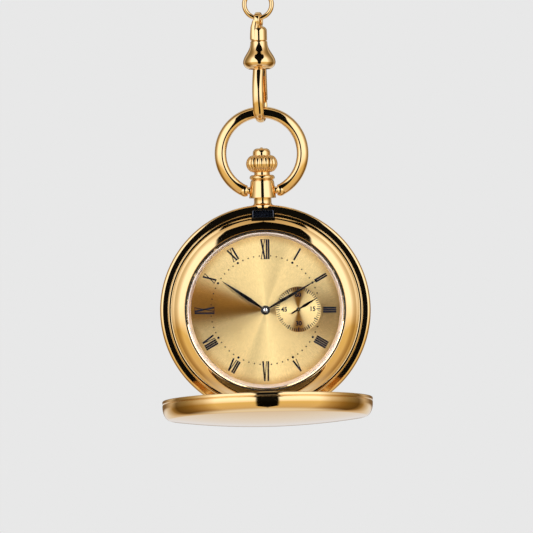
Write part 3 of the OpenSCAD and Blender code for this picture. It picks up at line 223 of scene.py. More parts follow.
class WatchStudioSettings(bpy.types.PropertyGroup):
    """The stage: camera, lamps and the lit tent."""

    camera_distance: FloatProperty(name="Camera distance", description="From the lens to the case",
                                   default=0.8, unit='LENGTH')
    camera_roll: FloatProperty(name="Camera roll", description="Turn of the camera about its line of sight",
                               default=math.radians(1.4), subtype='ANGLE')
    view_width: FloatProperty(name="View width", description="Width of the picture at the case",
                              default=0.13187, unit='LENGTH')
    side_light: FloatProperty(name="Side light",
                              description="Brightness of the lit cloth, where 1 is white",
                              default=1.25)
    dial_light: FloatProperty(name="Dial light",
                              description="Brightness of the lamps that reach through the glass",
                              default=3.3)


# Shaping


def arc(x, y, radius, start, end, steps=8):
    """Points along an arc, with its angles in degrees."""
    angles = [math.radians(start + (end - start) * i / steps) for i in range(steps + 1)]
    return [(x + radius * math.cos(a), y + radius * math.sin(a)) for a in angles]


def lathe(outline, place, steps=ROUND, edge_break=0.0):
    """Turns a closed outline of (radius, height) points about the Z axis of place."""
    bm = bmesh.new()
    verts = [bm.verts.new((r, 0, z)) for r, z in outline]
    edges = [bm.edges.new((a, b)) for a, b in zip(verts, verts[1:] + verts[:1])
             if max(a.co.x, b.co.x) > 1e-6]
    bmesh.ops.spin(bm, geom=verts + edges, cent=(0, 0, 0), axis=(0, 0, 1), angle=math.tau, steps=steps,
                   use_merge=True, use_duplicate=False)
    bmesh.ops.remove_doubles(bm, verts=bm.verts, dist=1e-5)
    bmesh.ops.recalc_face_normals(bm, faces=bm.faces)
    if edge_break:
        break_edges(bm, edge_break)
    bmesh.ops.transform(bm, matrix=place, verts=bm.verts)
    return bm


def break_edges(bm, width, limit=35, segments=2):
    """Softens the edges whose faces meet at more than the limit, in degrees."""
    corner = math.radians(limit)
    edges = [e for e in bm.edges if len(e.link_faces) == 2 and e.calc_face_angle() > corner]
    bmesh.ops.bevel(bm, geom=edges, offset=width, offset_type='OFFSET', segments=segments, profile=0.5,
                    affect='EDGES', clamp_overlap=True, material=-1)


def plate(outline, low, high, place=None, edge_break=0.0):
    """A flat piece: a closed (x, y) outline between two heights."""
    bm = bmesh.new()
    face = bm.faces.new([bm.verts.new((x, y, low)) for x, y in outline])
    raised = bmesh.ops.extrude_face_region(bm, geom=[face])["geom"]
    verts = [v for v in raised if isinstance(v, bmesh.types.BMVert)]
    bmesh.ops.translate(bm, vec=(0, 0, high - low), verts=verts)
    bmesh.ops.recalc_face_normals(bm, faces=bm.faces)
    if edge_break:
        break_edges(bm, edge_break)
    if place is not None:
        bmesh.ops.transform(bm, matrix=place, verts=bm.verts)
    return bm


def block(low, high, place):
    """A box between two corners."""
    bm = bmesh.new()
    size = [b - a for a, b in zip(low, high)]
    middle = [(a + b) / 2 for a, b in zip(low, high)]
    bmesh.ops.create_cube(bm, size=1, matrix=Matrix.Translation(middle) @ Matrix.Diagonal((*size, 1)))
    bmesh.ops.transform(bm, matrix=place, verts=bm.verts)
    return bm


def rod(radius, length, place, steps=48):
    """A round bar of this length along the Z axis of place, centred on it."""
    bm = bmesh.new()
    bmesh.ops.create_cone(bm, cap_ends=True, segments=steps, radius1=radius, radius2=radius, depth=length,
                          matrix=place)
    return bm


def loft(sections, place, sides=24):
    """Joins oval sections, each given as a matrix that places a unit circle, and closes both ends."""
    bm = bmesh.new()
    bmesh.ops.create_circle(bm, segments=sides, radius=1.0, matrix=sections[0])
    loop = list(bm.edges)
    bmesh.ops.contextual_create(bm, geom=loop)
    for old, new in zip(sections, sections[1:]):
        grown = bmesh.ops.extrude_edge_only(bm, edges=loop)["geom"]
        verts = [g for g in grown if isinstance(g, bmesh.types.BMVert)]
        loop = [g for g in grown if isinstance(g, bmesh.types.BMEdge) and all(v in verts for v in g.verts)]
        bmesh.ops.transform(bm, matrix=new @ old.inverted(), verts=verts)
    bmesh.ops.contextual_create(bm, geom=loop)
    bmesh.ops.recalc_face_normals(bm, faces=bm.faces)
    bmesh.ops.transform(bm, matrix=place, verts=bm.verts)
    return bm


def join(*parts):
    """Puts several meshes into the first one."""
    whole = parts[0]
    for part in parts[1:]:
        mesh = bpy.data.meshes.new("joined")
        part.to_mesh(mesh)
        part.free()
        whole.from_mesh(mesh)
        bpy.data.meshes.remove(mesh)
    return whole


def cut(bm, cutter, operation='DIFFERENCE'):
    """Takes one solid out of another, and returns what is left."""
    objects = []
    for part in (bm, cutter):
        mesh = bpy.data.meshes.new("cut")
        part.to_mesh(mesh)
        part.free()
        objects.append(bpy.data.objects.new("cut", mesh))
        bpy.context.scene.collection.objects.link(objects[-1])
    modifier = objects[0].modifiers.new("cut", 'BOOLEAN')
    modifier.operation = operation
    modifier.solver = 'EXACT'
    modifier.object = objects[1]
    bpy.context.view_layer.update()
    left = bmesh.new()
    left.from_object(objects[0], bpy.context.evaluated_depsgraph_get())
    for obj in objects:
        mesh = obj.data
        bpy.data.objects.remove(obj)
        bpy.data.meshes.remove(mesh)
    return left


def add_piece(name, bm, material, body, nodes, smooth_limit=40, weigh=True):
    """Makes a finished piece of a mesh: its shading, its material, the body that it rides on."""
    limit = math.radians(smooth_limit)
    for face in bm.faces:
        face.smooth = True
    for edge in bm.edges:
        if len(edge.link_faces) == 2 and edge.calc_face_angle() > limit:
            edge.smooth = False
    mesh = bpy.data.meshes.new(name)
    bm.to_mesh(mesh)
    bm.free()
    mesh.materials.append(material)
    piece = bpy.data.objects.new(name, mesh)
    bpy.context.scene.collection.objects.link(piece)
    if weigh:
        modifier = piece.modifiers.new("Weighted normals", 'WEIGHTED_NORMAL')
        modifier.weight = 100
        modifier.keep_sharp = True
    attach(piece, body)
    if nodes:
        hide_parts(*nodes)
    return piece


# Finishes


def add_node(tree, kind, settings=None, inputs=None):
    """Adds a node, sets its settings, and sets or links its inputs."""
    node = tree.nodes.new(kind)
    for key, value in (settings or {}).items():
        setattr(node, key, value)
    for key, value in (inputs or {}).items():
        if isinstance(value, bpy.types.NodeSocket):
            tree.links.new(value, node.inputs[key])
        else:
            node.inputs[key].default_value = value
    return node


def new_finish(name, inputs):
    """A material with one Principled shader; its node tree and that shader come with it."""
    material = bpy.data.materials.new(name)
    material.use_nodes = True
    tree = material.node_tree
    tree.nodes.clear()
    shader = add_node(tree, 'ShaderNodeBsdfPrincipled', inputs=inputs)
    add_node(tree, 'ShaderNodeOutputMaterial', inputs={"Surface": shader.outputs["BSDF"]})
    return material, tree, shader


def vary_roughness(tree, shader, low, high, grain):
    """Lets the roughness wander between two values, with patches of this size in mm."""
    place = add_node(tree, 'ShaderNodeTexCoord').outputs["Object"]
    noise = add_node(tree, 'ShaderNodeTexNoise', inputs={
        "Vector": place, "Scale": 1 / (grain * MM), "Detail": 3.0})
    spread = add_node(tree, 'ShaderNodeMapRange', inputs={
        "Value": noise.outputs["Fac"], "From Min": 0.3, "From Max": 0.7, "To Min": low, "To Max": high})
    tree.links.new(spread.outputs["Result"], shader.inputs["Roughness"])


def wheel_marks(tree, shader, sizes, strength):
    """The marks that a wheel or a lathe leaves, as a bump, with a mark's size on each axis in mm.

    Real marks are some hundredths of a millimetre wide. These are about a tenth, so that they show.
    """
    place = add_node(tree, 'ShaderNodeTexCoord').outputs["Object"]
    stretch = add_node(tree, 'ShaderNodeMapping', inputs={
        "Vector": place, "Scale": [1 / (size * MM) for size in sizes]})
    marks = add_node(tree, 'ShaderNodeTexNoise', inputs={
        "Vector": stretch.outputs["Vector"], "Scale": 1.0})
    bump = add_node(tree, 'ShaderNodeBump', inputs={
        "Height": marks.outputs["Fac"], "Strength": strength, "Distance": 0.01 * MM})
    tree.links.new(bump.outputs["Normal"], shader.inputs["Normal"])


def mirror_gold(colour):
    """Gold plate polished on a soft wheel: a mirror, with the faintest haze and wheel marks."""
    material, tree, shader = new_finish("mirror_polished_gold_plate", {
        "Base Color": (*colour, 1), "Metallic": 1.0})
    vary_roughness(tree, shader, 0.03, 0.075, 2.5)
    wheel_marks(tree, shader, (1 / 9, 1 / 9, 2 / 3), 0.012)
    return material


def sunburst_gold(name, colour, turn, spokes, bright, shade_at, rim, far, dip):
    """Dial brass, brushed and gilt: fine lines spread the light, and painted shade darkens it in places.

    The lines lie at a turn to the map's first axis, with so many spokes round it and to each mm, and
    bright is how much they differ. The painted shade is darkest in a wedge at one angle, less so by far
    in the wedge across from it, and it darkens the last part up to the rim. The metal between the two
    wedges is dimmed by dip, which is painted shade too.
    """
    # Painted shade: how dark it gets in the wedges and at the rim, and where the wedges, the dimming
    # between them and the rim shade begin
    wedge_shade_peak, rim_shade_peak = 0.92, 0.5
    wedge_from, dim_to, rim_from = 0.6, -0.8, 0.88
    material, tree, shader = new_finish(name, {
        "Metallic": 1.0, "Roughness": 0.44, "Anisotropic": 1.0, "Anisotropic Rotation": turn})
    tangent = add_node(tree, 'ShaderNodeTangent', {"direction_type": 'UV_MAP', "uv_map": "round"})
    tree.links.new(tangent.outputs["Tangent"], shader.inputs["Tangent"])
    lines = add_node(tree, 'ShaderNodeUVMap', {"uv_map": "round"})
    stretch = add_node(tree, 'ShaderNodeMapping', inputs={"Vector": lines.outputs["UV"], "Scale": spokes})
    streaks = add_node(tree, 'ShaderNodeTexNoise', inputs={
        "Vector": stretch.outputs["Vector"], "Scale": 1.0, "Detail": 4.0, "Roughness": 0.7})
    tone = add_node(tree, 'ShaderNodeMapRange', inputs={
        "Value": streaks.outputs["Fac"], "From Min": 0.25, "From Max": 0.75, "To Min": 1 - bright,
        "To Max": 1.0})
    parts = add_node(tree, 'ShaderNodeSeparateXYZ', inputs={"Vector": lines.outputs["UV"]})
    # Painted shade in two wedges on one line across the dial; the wedge across from the darkest has the
    # share far of its strength
    swing = add_node(tree, 'ShaderNodeMath', {"operation": 'MULTIPLY_ADD'}, {
        0: parts.outputs["X"], 1: 2 * math.tau, 2: -2 * shade_at})
    wave = add_node(tree, 'ShaderNodeMath', {"operation": 'COSINE'}, {0: swing.outputs["Value"]})
    facing = add_node(tree, 'ShaderNodeMath', {"operation": 'MULTIPLY_ADD'}, {
        0: parts.outputs["X"], 1: math.tau, 2: -shade_at})
    side = add_node(tree, 'ShaderNodeMath', {"operation": 'COSINE'}, {0: facing.outputs["Value"]})
    most = add_node(tree, 'ShaderNodeMapRange', inputs={
        "Value": side.outputs["Value"], "From Min": -1.0, "To Min": wedge_shade_peak * far, "To Max": wedge_shade_peak})
    painted_wedge_shade = add_node(tree, 'ShaderNodeMapRange', {"interpolation_type": 'SMOOTHSTEP'}, {
        "Value": wave.outputs["Value"], "From Min": wedge_from, "From Max": 1.0,
        "To Max": most.outputs["Result"]})
    # Painted shade that dims the metal between the two wedges
    painted_dim = add_node(tree, 'ShaderNodeMapRange', {"interpolation_type": 'SMOOTHSTEP'}, {
        "Value": wave.outputs["Value"], "From Min": -1.0, "From Max": dim_to, "To Min": 1 - dip})
    bright_part = add_node(tree, 'ShaderNodeMath', {"operation": 'MULTIPLY'}, {
        0: tone.outputs["Result"], 1: painted_dim.outputs["Result"]})
    # Painted shade over the last part of the dial up to the rim
    edge = add_node(tree, 'ShaderNodeMapRange', {"interpolation_type": 'SMOOTHSTEP'}, {
        "Value": parts.outputs["Y"], "From Min": rim * rim_from, "From Max": rim, "To Max": rim_shade_peak})
    # The stronger of the wedge and rim painted shade
    depth = add_node(tree, 'ShaderNodeMath', {"operation": 'MAXIMUM'}, {
        0: painted_wedge_shade.outputs["Result"], 1: edge.outputs["Result"]})
    # The painted shade colour: the gold times #BC8E45
    deep = tuple(c * k for c, k in zip(colour, linear("#BC8E45")))
    # A colour mix has its colours in sockets 6 and 7, and its result in output 2; this one mixes in the
    # painted shade colour
    lacquered = add_node(tree, 'ShaderNodeMix', {"data_type": 'RGBA'}, {
        0: depth.outputs["Value"], 6: (*colour, 1), 7: (*deep, 1)})
    # The streaks and the painted dimming scale the colour
    shade = add_node(tree, 'ShaderNodeVectorMath', {"operation": 'SCALE'}, {0: lacquered.outputs[2]})
    tree.links.new(bright_part.outputs["Value"], shade.inputs["Scale"])
    tree.links.new(shade.outputs["Vector"], shader.inputs["Base Color"])
    bump = add_node(tree, 'ShaderNodeBump', inputs={
        "Height": streaks.outputs["Fac"], "Strength": 0.3, "Distance": 0.02 * MM})
    tree.links.new(bump.outputs["Normal"], shader.inputs["Normal"])
    return material


def plain_metal(name, code, rough, grain=1.5, bump=0.0):
    """Machined and polished metal, with a roughness that wanders a little."""
    material, tree, shader = new_finish(name, {"Base Color": linear(code), "Metallic": 1.0})
    vary_roughness(tree, shader, rough * 0.8, rough * 1.25, grain)
    if bump:
        wheel_marks(tree, shader, (1 / 12, 2 / 3, 2 / 3), bump)
    return material


def striped_nickel():
    """Nickel-plated bridges with the ribs that a slanted wheel leaves, one every 1.6 mm."""
    rib, slant = 1.6 * MM, math.radians(25)
    # At a scale of 1 a wave texture repeats every tau / 20
    scale = math.tau / 20 / rib
    material, tree, shader = new_finish("ribbed_nickel_plate", {
        "Base Color": linear("#D8D4CB"), "Metallic": 1.0})
    place = add_node(tree, 'ShaderNodeTexCoord').outputs["Object"]
    turned = add_node(tree, 'ShaderNodeMapping', inputs={"Vector": place, "Rotation": (0, slant, 0)})
    ribs = add_node(tree, 'ShaderNodeTexWave', {"wave_profile": 'SIN', "bands_direction": 'X'}, {
        "Vector": turned.outputs["Vector"], "Scale": scale})
    bump = add_node(tree, 'ShaderNodeBump', inputs={
        "Height": ribs.outputs["Fac"], "Strength": 0.3, "Distance": 0.05 * MM})
    tree.links.new(bump.outputs["Normal"], shader.inputs["Normal"])
    vary_roughness(tree, shader, 0.2, 0.32, 0.4)
    return material


def lacquer(name, code, rough):
    """Black lacquer over steel: nearly black, with a hard clear gloss."""
    material, tree, shader = new_finish(name, {
        "Base Color": linear(code), "Metallic": 0.0, "Coat Weight": 0.6, "Coat Roughness": 0.05})
    vary_roughness(tree, shader, rough * 0.8, rough * 1.3, 0.8)
    return material


def mineral_glass():
    """A ground and polished watch glass: clear, with a bright edge."""
    return new_finish("mineral_glass", {
        "Base Color": linear("#FFFFFF"), "Roughness": 0.0, "IOR": 1.5, "Transmission Weight": 1.0})[0]


def ruby():
    """Synthetic ruby: deep red and glossy, and light comes through it."""
    material, tree, shader = new_finish("synthetic_ruby", {
        "Base Color": linear("#B0103C"), "Transmission Weight": 0.5, "IOR": 1.76})
    vary_roughness(tree, shader, 0.03, 0.08, 0.3)
    return material


def rubber():
    """A moulded gasket: black, matt, with a fine skin."""
    material, tree, shader = new_finish("moulded_black_gasket", {"Base Color": linear("#0C0B0A")})
    vary_roughness(tree, shader, 0.45, 0.6, 0.5)
    return material


def silvered():
    """The rehaut: turned brass, silvered, with a warm satin that is left by the lathe."""
    material, tree, shader = new_finish("silvered_satin_ring", {
        "Base Color": linear("#FFEEE4"), "Metallic": 0.25})
    vary_roughness(tree, shader, 0.28, 0.4, 0.6)
    return material


def printed(name, code, rough=0.3):
    """Pad-printed enamel ink, raised a little on the dial."""
    material, tree, shader = new_finish(name, {"Base Color": linear(code), "Metallic": 0.3})
    vary_roughness(tree, shader, rough * 0.8, rough * 1.2, 0.5)
    return material


FINISHES = {}


class WATCH_OT_finishes(bpy.types.Operator):
    """Makes every finish, and puts those of the inner pieces on them"""

    bl_idname = "watch.finishes"
    bl_label = "Finishes"

    def execute(self, context):
        colours = context.scene.watch_finish
        FINISHES.update({
            "gold": mirror_gold(colours.gold),
            # Gilt brass ground with fine paper: it glows softly and mirrors nothing
            "satin": plain_metal("satin_ground_gold", "#F2D3A0", 0.34, 0.4),
            # Brushed outwards: 300 bundles of lines round, 0.2 mm apart half way out, which catch the
            # light in wedges at 12 and 6; painted shade darkens a wedge near 9 o'clock, less so near 3, and
            # the rim, and dims the wedges at 12 and 6
            "dial": sunburst_gold("sunburst_brushed_gilt", colours.dial, 0.0, (300, 1.0, 1), 0.27,
                                  math.radians(172), REHAUT_R - 0.9, 0.4, 0.24),
            # Turned in rings of 0.01 mm, too fine to be seen singly, which show as two wedges of light;
            # painted shade darkens it at its top and bottom, and a little at its rim
            "snail": sunburst_gold("snailed_gilt", colours.dial, 0.25, (2, 90, 1), 0.12,
                                   math.radians(90), 6.6, 1.0, 0.0),
            # Hardened steel, polished: a cool grey mirror
            "steel": plain_metal("polished_steel", "#C9CBD0", 0.14),
            # Steel blackened in hot salt: dark and slightly blue, and it still mirrors
            "dark_steel": plain_metal("blackened_steel", "#5C6884", 0.16),
            # Steel blued by heat: a deep blue with a soft shine
            "blued": plain_metal("blued_steel", "#27407E", 0.16),
            "nickel": striped_nickel(),
            # Gilt brass with a fine grain: a dull yellow that glints a little
            "brass": plain_metal("grained_gilt_brass", "#D9B262", 0.26, 0.3, 0.06),
            # Brass as the lathe leaves it: warm, with a slight shine
            "pendant_brass": plain_metal("turned_brass", "#D8B05E", 0.2, 0.5, 0.04),
            "black": lacquer("black_lacquered_hands", "#07070A", 0.12),
            "ink": printed("blue_black_ink", "#1B2236", 0.22),
            "brown_ink": printed("brown_ink", "#44290C"),
            "glass": mineral_glass(),
            "ruby": ruby(),
            "rubber": rubber(),
            "rehaut": silvered(),
        })
        by_slot = {
            "polished_gold": "gold", "polished_steel": "steel", "dark_steel": "dark_steel",
            "pendant_brass": "pendant_brass", "crystal_glass": "glass", "gasket": "rubber",
            "rehaut_silver": "rehaut", "dial_gold": "dial", "black_hands": "black", "blued_steel": "blued",
            "plate_nickel": "nickel", "ruby": "ruby", "wheel_brass": "brass",
        }
        for subpart in frame["record"]["subparts"]:
            mesh = frame["nodes"][subpart["node"]].data
            mesh.materials.clear()
            mesh.materials.append(FINISHES[by_slot[subpart["material_slot"]]])
        return {'FINISHED'}


# The case


def catch_slot_cutter():
    """The room that the catch slides in, from the bezel's flank to behind the lid's rim."""
    half, low, high = 2.9, STEP_R - 2, STEP_R + 0.75
    return block((-half, low, 1.75), (half, high, GLASS_SEAT + 1.4), WATCH)


class WATCH_OT_case(bpy.types.Operator):
    """Builds the band, the bezel and the rear cover"""

    bl_idname = "watch.case"
    bl_label = "Case, bezel and rear cover"

    def execute(self, context):
        size = context.scene.watch_case
        self.band(size)
        self.bezel(size)
        self.rear_cover(size)
        return {'FINISHED'}

    def band(self, size):
        """The case band: its step, the seats of bezel and movement, and the lugs of the hinge."""
        edge = size.band_edge
        round_r = BAND_R - edge
        inner, lip = 20.6, 20.0
        plate_back, rim_back = SEAT_BACK + 0.8, SEAT_BACK - 0.8
        groove_in, groove_out = 21.2, 22.6
        bezel_seat, bezel_hole = SEAT_FRONT - 0.2, BEZEL_R + 0.03
        chamfer = size.step_chamfer
        outline = [(inner, plate_back), (inner, bezel_seat), (bezel_hole, bezel_seat),
                   (bezel_hole, STEP_FRONT), (STEP_R - chamfer, STEP_FRONT),
                   (STEP_R, STEP_FRONT - chamfer), (STEP_R, SEAT_FRONT)]
        outline += arc(round_r, SEAT_FRONT - edge, edge, 90, 0, 10)
        outline += arc(round_r, SEAT_BACK + edge, edge, 0, -90, 10)
        outline += [(STEP_R - 0.4, SEAT_BACK), (STEP_R - 0.4, rim_back), (groove_out, rim_back),
                    (groove_out, plate_back), (groove_in, plate_back), (groove_in, rim_back),
                    (lip, rim_back), (lip, plate_back)]
        bm = lathe(outline, WATCH, edge_break=size.edge_break)
        bm = cut(bm, catch_slot_cutter())
        half, deep = 8.6, 4.0
        relief = block((-half, -BAND_R - 1, SEAT_FRONT), (half, -BAND_R + deep, SEAT_FRONT + 2), WATCH)
        bm = cut(bm, relief)
        lugs = [self.lug(side) for side in (-1, 1)]
        add_piece("case_band", join(bm, *lugs), FINISHES["gold"], "case", ["case_middle"])

    def lug(self, side):
        """A hinge lug: a knuckle at the pin, run down into the band."""
        near, far = side * 1.38, side * 4.03
        middle, length = (near + far) / 2, abs(far - near)
        bm = bmesh.new()
        for radius, y, z in ((0.75, HINGE_Y, HINGE_Z), (0.5, HINGE_Y + 0.3, SEAT_FRONT - 1.2)):
            place = Matrix.Translation((middle, y, z)) @ ACROSS
            bmesh.ops.create_cone(bm, cap_ends=False, segments=40, radius1=radius, radius2=radius,
                                  depth=length, matrix=place)
        hull = bmesh.ops.convex_hull(bm, input=bm.verts)
        bmesh.ops.delete(bm, geom=hull["geom_interior"] + hull["geom_unused"], context='VERTS')
        bmesh.ops.dissolve_limit(bm, angle_limit=math.radians(1), verts=bm.verts, edges=bm.edges)
        bmesh.ops.recalc_face_normals(bm, faces=bm.faces)
        break_edges(bm, 0.06, 60)
        bmesh.ops.transform(bm, matrix=WATCH, verts=bm.verts)
        return bm

    def bezel(self, size):
        """The ring that holds the glass: a flank, a long bright slope and the glass's seat."""
        bottom, flank = SEAT_FRONT - 0.2, STEP_FRONT + 0.15
        slope_r, top = BEZEL_R - 0.6, flank + 1.6
        bore = GASKET_R
        steps = 24
        slope = []
        for i in range(steps + 1):
            share = i / steps
            slope.append((slope_r + (bore + 0.15 - slope_r) * share, flank + 0.15
                          + (top - flank - 0.15) * share + size.bezel_bulge * math.sin(math.pi * share)))
        outline = [(REHAUT_R + 0.05, bottom), (BEZEL_R, bottom), (BEZEL_R, flank - 0.15)] + slope
        outline += [(bore, top - 0.1), (bore, GLASS_SEAT), (REHAUT_R + 0.05, GLASS_SEAT)]
        bm = lathe(outline, WATCH, edge_break=size.edge_break / 2)
        bm = cut(bm, catch_slot_cutter())
        add_piece("bezel_ring", bm, FINISHES["gold"], "case", ["bezel"])

    def rear_cover(self, size):
        """The snap-on back: a flat middle, a rounded shoulder and a lip that goes into the band."""
        back, flat_r, skin, lip = SEAT_BACK - 2.4, 21.0, 0.6, 0.9
        inner = STEP_R - 0.37
        outline = [(0, back), (flat_r, back)]
        outline += arc(LID_R - 1, SEAT_BACK - lip, 1, -60, 0, 8)
        outline += [(LID_R, SEAT_BACK), (inner, SEAT_BACK), (inner, SEAT_BACK - 0.83),
                    (flat_r - 0.8, back + skin), (0, back + skin)]
        bm = lathe(outline, WATCH, edge_break=size.edge_break)
        add_piece("rear_cover_shell", bm, FINISHES["gold"], "case", ["rear_cover"])


class WATCH_OT_lid(bpy.types.Operator):
    """Builds the open hunter lid with its knuckle, and the catch that holds it"""

    bl_idname = "watch.lid"
    bl_label = "Lid and catch"

    def execute(self, context):
        size = context.scene.watch_case
        lip = SEAT_FRONT + 0.1
        rim_top = lip + 2.7
        wall, skin, bend = 0.8, 0.5, 80
        rim_r, groove = LID_R - 0.015, 0.16
        knuckle_r, knuckle_len, pin_hole = 0.75, 2.7, 0.38
        corner = rim_r - size.lid_shoulder
        steps = 28
        dome_r = corner + size.lid_shoulder * math.cos(math.radians(bend))
        dome_z = rim_top + size.lid_shoulder * math.sin(math.radians(bend))
        shares = [1 - i / steps for i in range(1, steps + 1)]
        outer = [(rim_r - 0.15, lip), (rim_r, lip + 0.15), (rim_r, lip + 0.75),
                 (rim_r - groove, lip + 0.88), (rim_r - groove, lip + 0.96), (rim_r, lip + 1.09)]
        swell = lip + 1.3
        rise = (dome_z - swell) / math.sin(math.radians(bend))
        outer += [(x, swell + y * rise) for x, y in
                  [(corner + size.lid_shoulder * u, v) for u, v in arc(0, 0, 1, 0, bend, 32)]]
        outer += [(dome_r * f, dome_z + size.lid_dome * (1 - f * f)) for f in shares]
        inner = [(LID_R - wall, lip)]
        inner += arc(corner - wall + skin, rim_top, size.lid_shoulder - skin, 0, bend, 20)
        inner += [((dome_r - wall) * f, dome_z - skin + size.lid_dome * (1 - f * f)) for f in shares]
        bm = lathe(outer + inner[::-1], OPEN_LID, edge_break=size.edge_break / 2)
        notch = block((-3, LID_R - wall - 1, lip - 1), (3, LID_R - 0.25, lip + 1.7), OPEN_LID)
        bm = cut(bm, notch)
        gap = block((-4.3, HINGE_Y - 1, lip - 1), (4.3, HINGE_Y + 2, HINGE_Z + 1.0), OPEN_LID)
        bm = cut(bm, gap)
        across = OPEN_LID @ HINGE @ ACROSS
        knuckle = cut(rod(knuckle_r, knuckle_len, across), rod(pin_hole, 4, across))
        tongue = block((-1.35, HINGE_Y + 0.5, HINGE_Z), (1.35, HINGE_Y + 0.9, HINGE_Z + 1.2), OPEN_LID)
        add_piece("hunter_lid_shell", join(bm, knuckle, tongue), FINISHES["gold"], "lid", ["hunter_lid"])
        ground_r = dome_r - wall - 0.2
        ground = [(ground_r * f, dome_z - skin + size.lid_dome * (1 - f * f)) for f in [1] + shares]
        liner = lathe([(r, z - 0.06) for r, z in ground] + [(r, z + 0.1) for r, z in reversed(ground)],
                      OPEN_LID)
        add_piece("lid_inner_ground", liner, FINISHES["satin"], "lid", ())
        self.catch()
        return {'FINISHED'}

    def catch(self):
        """The catch: a blackened plate with rounded corners and a shank that goes into the band."""
        top, nose = STEP_FRONT + 0.45, LID_R - 0.4
        back, half, corner = nose - 2, 2.6, 0.45
        outline = [(-half, back), (half, back)] + arc(half - corner, nose - corner, corner, 0, 90, 6)
        outline += arc(-half + corner, nose - corner, corner, 90, 180, 6)
        head = plate(outline, top - 0.9, top, WATCH)
        shank = block((-half + 0.3, back, 1.85), (half - 0.3, back + 1.2, top - 0.6), WATCH)
        break_edges(head, 0.16 * MM, 50, 4)
        add_piece("lid_catch_plate", join(head, shank), FINISHES["dark_steel"], "catch", ["lid_catch"])


class WATCH_OT_glass(bpy.types.Operator):
    """Builds the crystal, its gasket and the rehaut"""

    bl_idname = "watch.glass"
    bl_label = "Crystal, gasket and rehaut"

    def execute(self, context):
        thick, dome, steps = 0.7, 0.45, 24
        outline = [(0, GLASS_SEAT), (GLASS_R - 0.08, GLASS_SEAT), (GLASS_R, GLASS_SEAT + 0.08),
                   (GLASS_R, GLASS_SEAT + thick - 0.1)]
        shares = [1 - i / steps for i in range(steps + 1)]
        outline += [((GLASS_R - 0.1) * f, GLASS_SEAT + thick + dome * (1 - f ** 2)) for f in shares]
        add_piece("watch_glass", lathe(outline, WATCH), FINISHES["glass"], "case", ["crystal"])
        hole = GLASS_R + 0.005
        gasket = [(hole, GLASS_SEAT), (GASKET_R, GLASS_SEAT), (GASKET_R, GLASS_SEAT + thick),
                  (hole, GLASS_SEAT + thick)]
        add_piece("glass_gasket", lathe(gasket, WATCH, edge_break=0.05), FINISHES["rubber"], "case",
                  ["crystal_gasket"])
        view_r, top = REHAUT_R - 0.85, GLASS_SEAT - 0.05
        rehaut = [(view_r, DIAL_FRONT), (REHAUT_R, DIAL_FRONT), (REHAUT_R, top), (view_r + 0.55, top)]
        add_piece("rehaut_band", lathe(rehaut, WATCH, edge_break=0.04), FINISHES["rehaut"], "case",
                  ["rehaut_ring"])
        return {'FINISHED'}


# Pendant, crown and bow


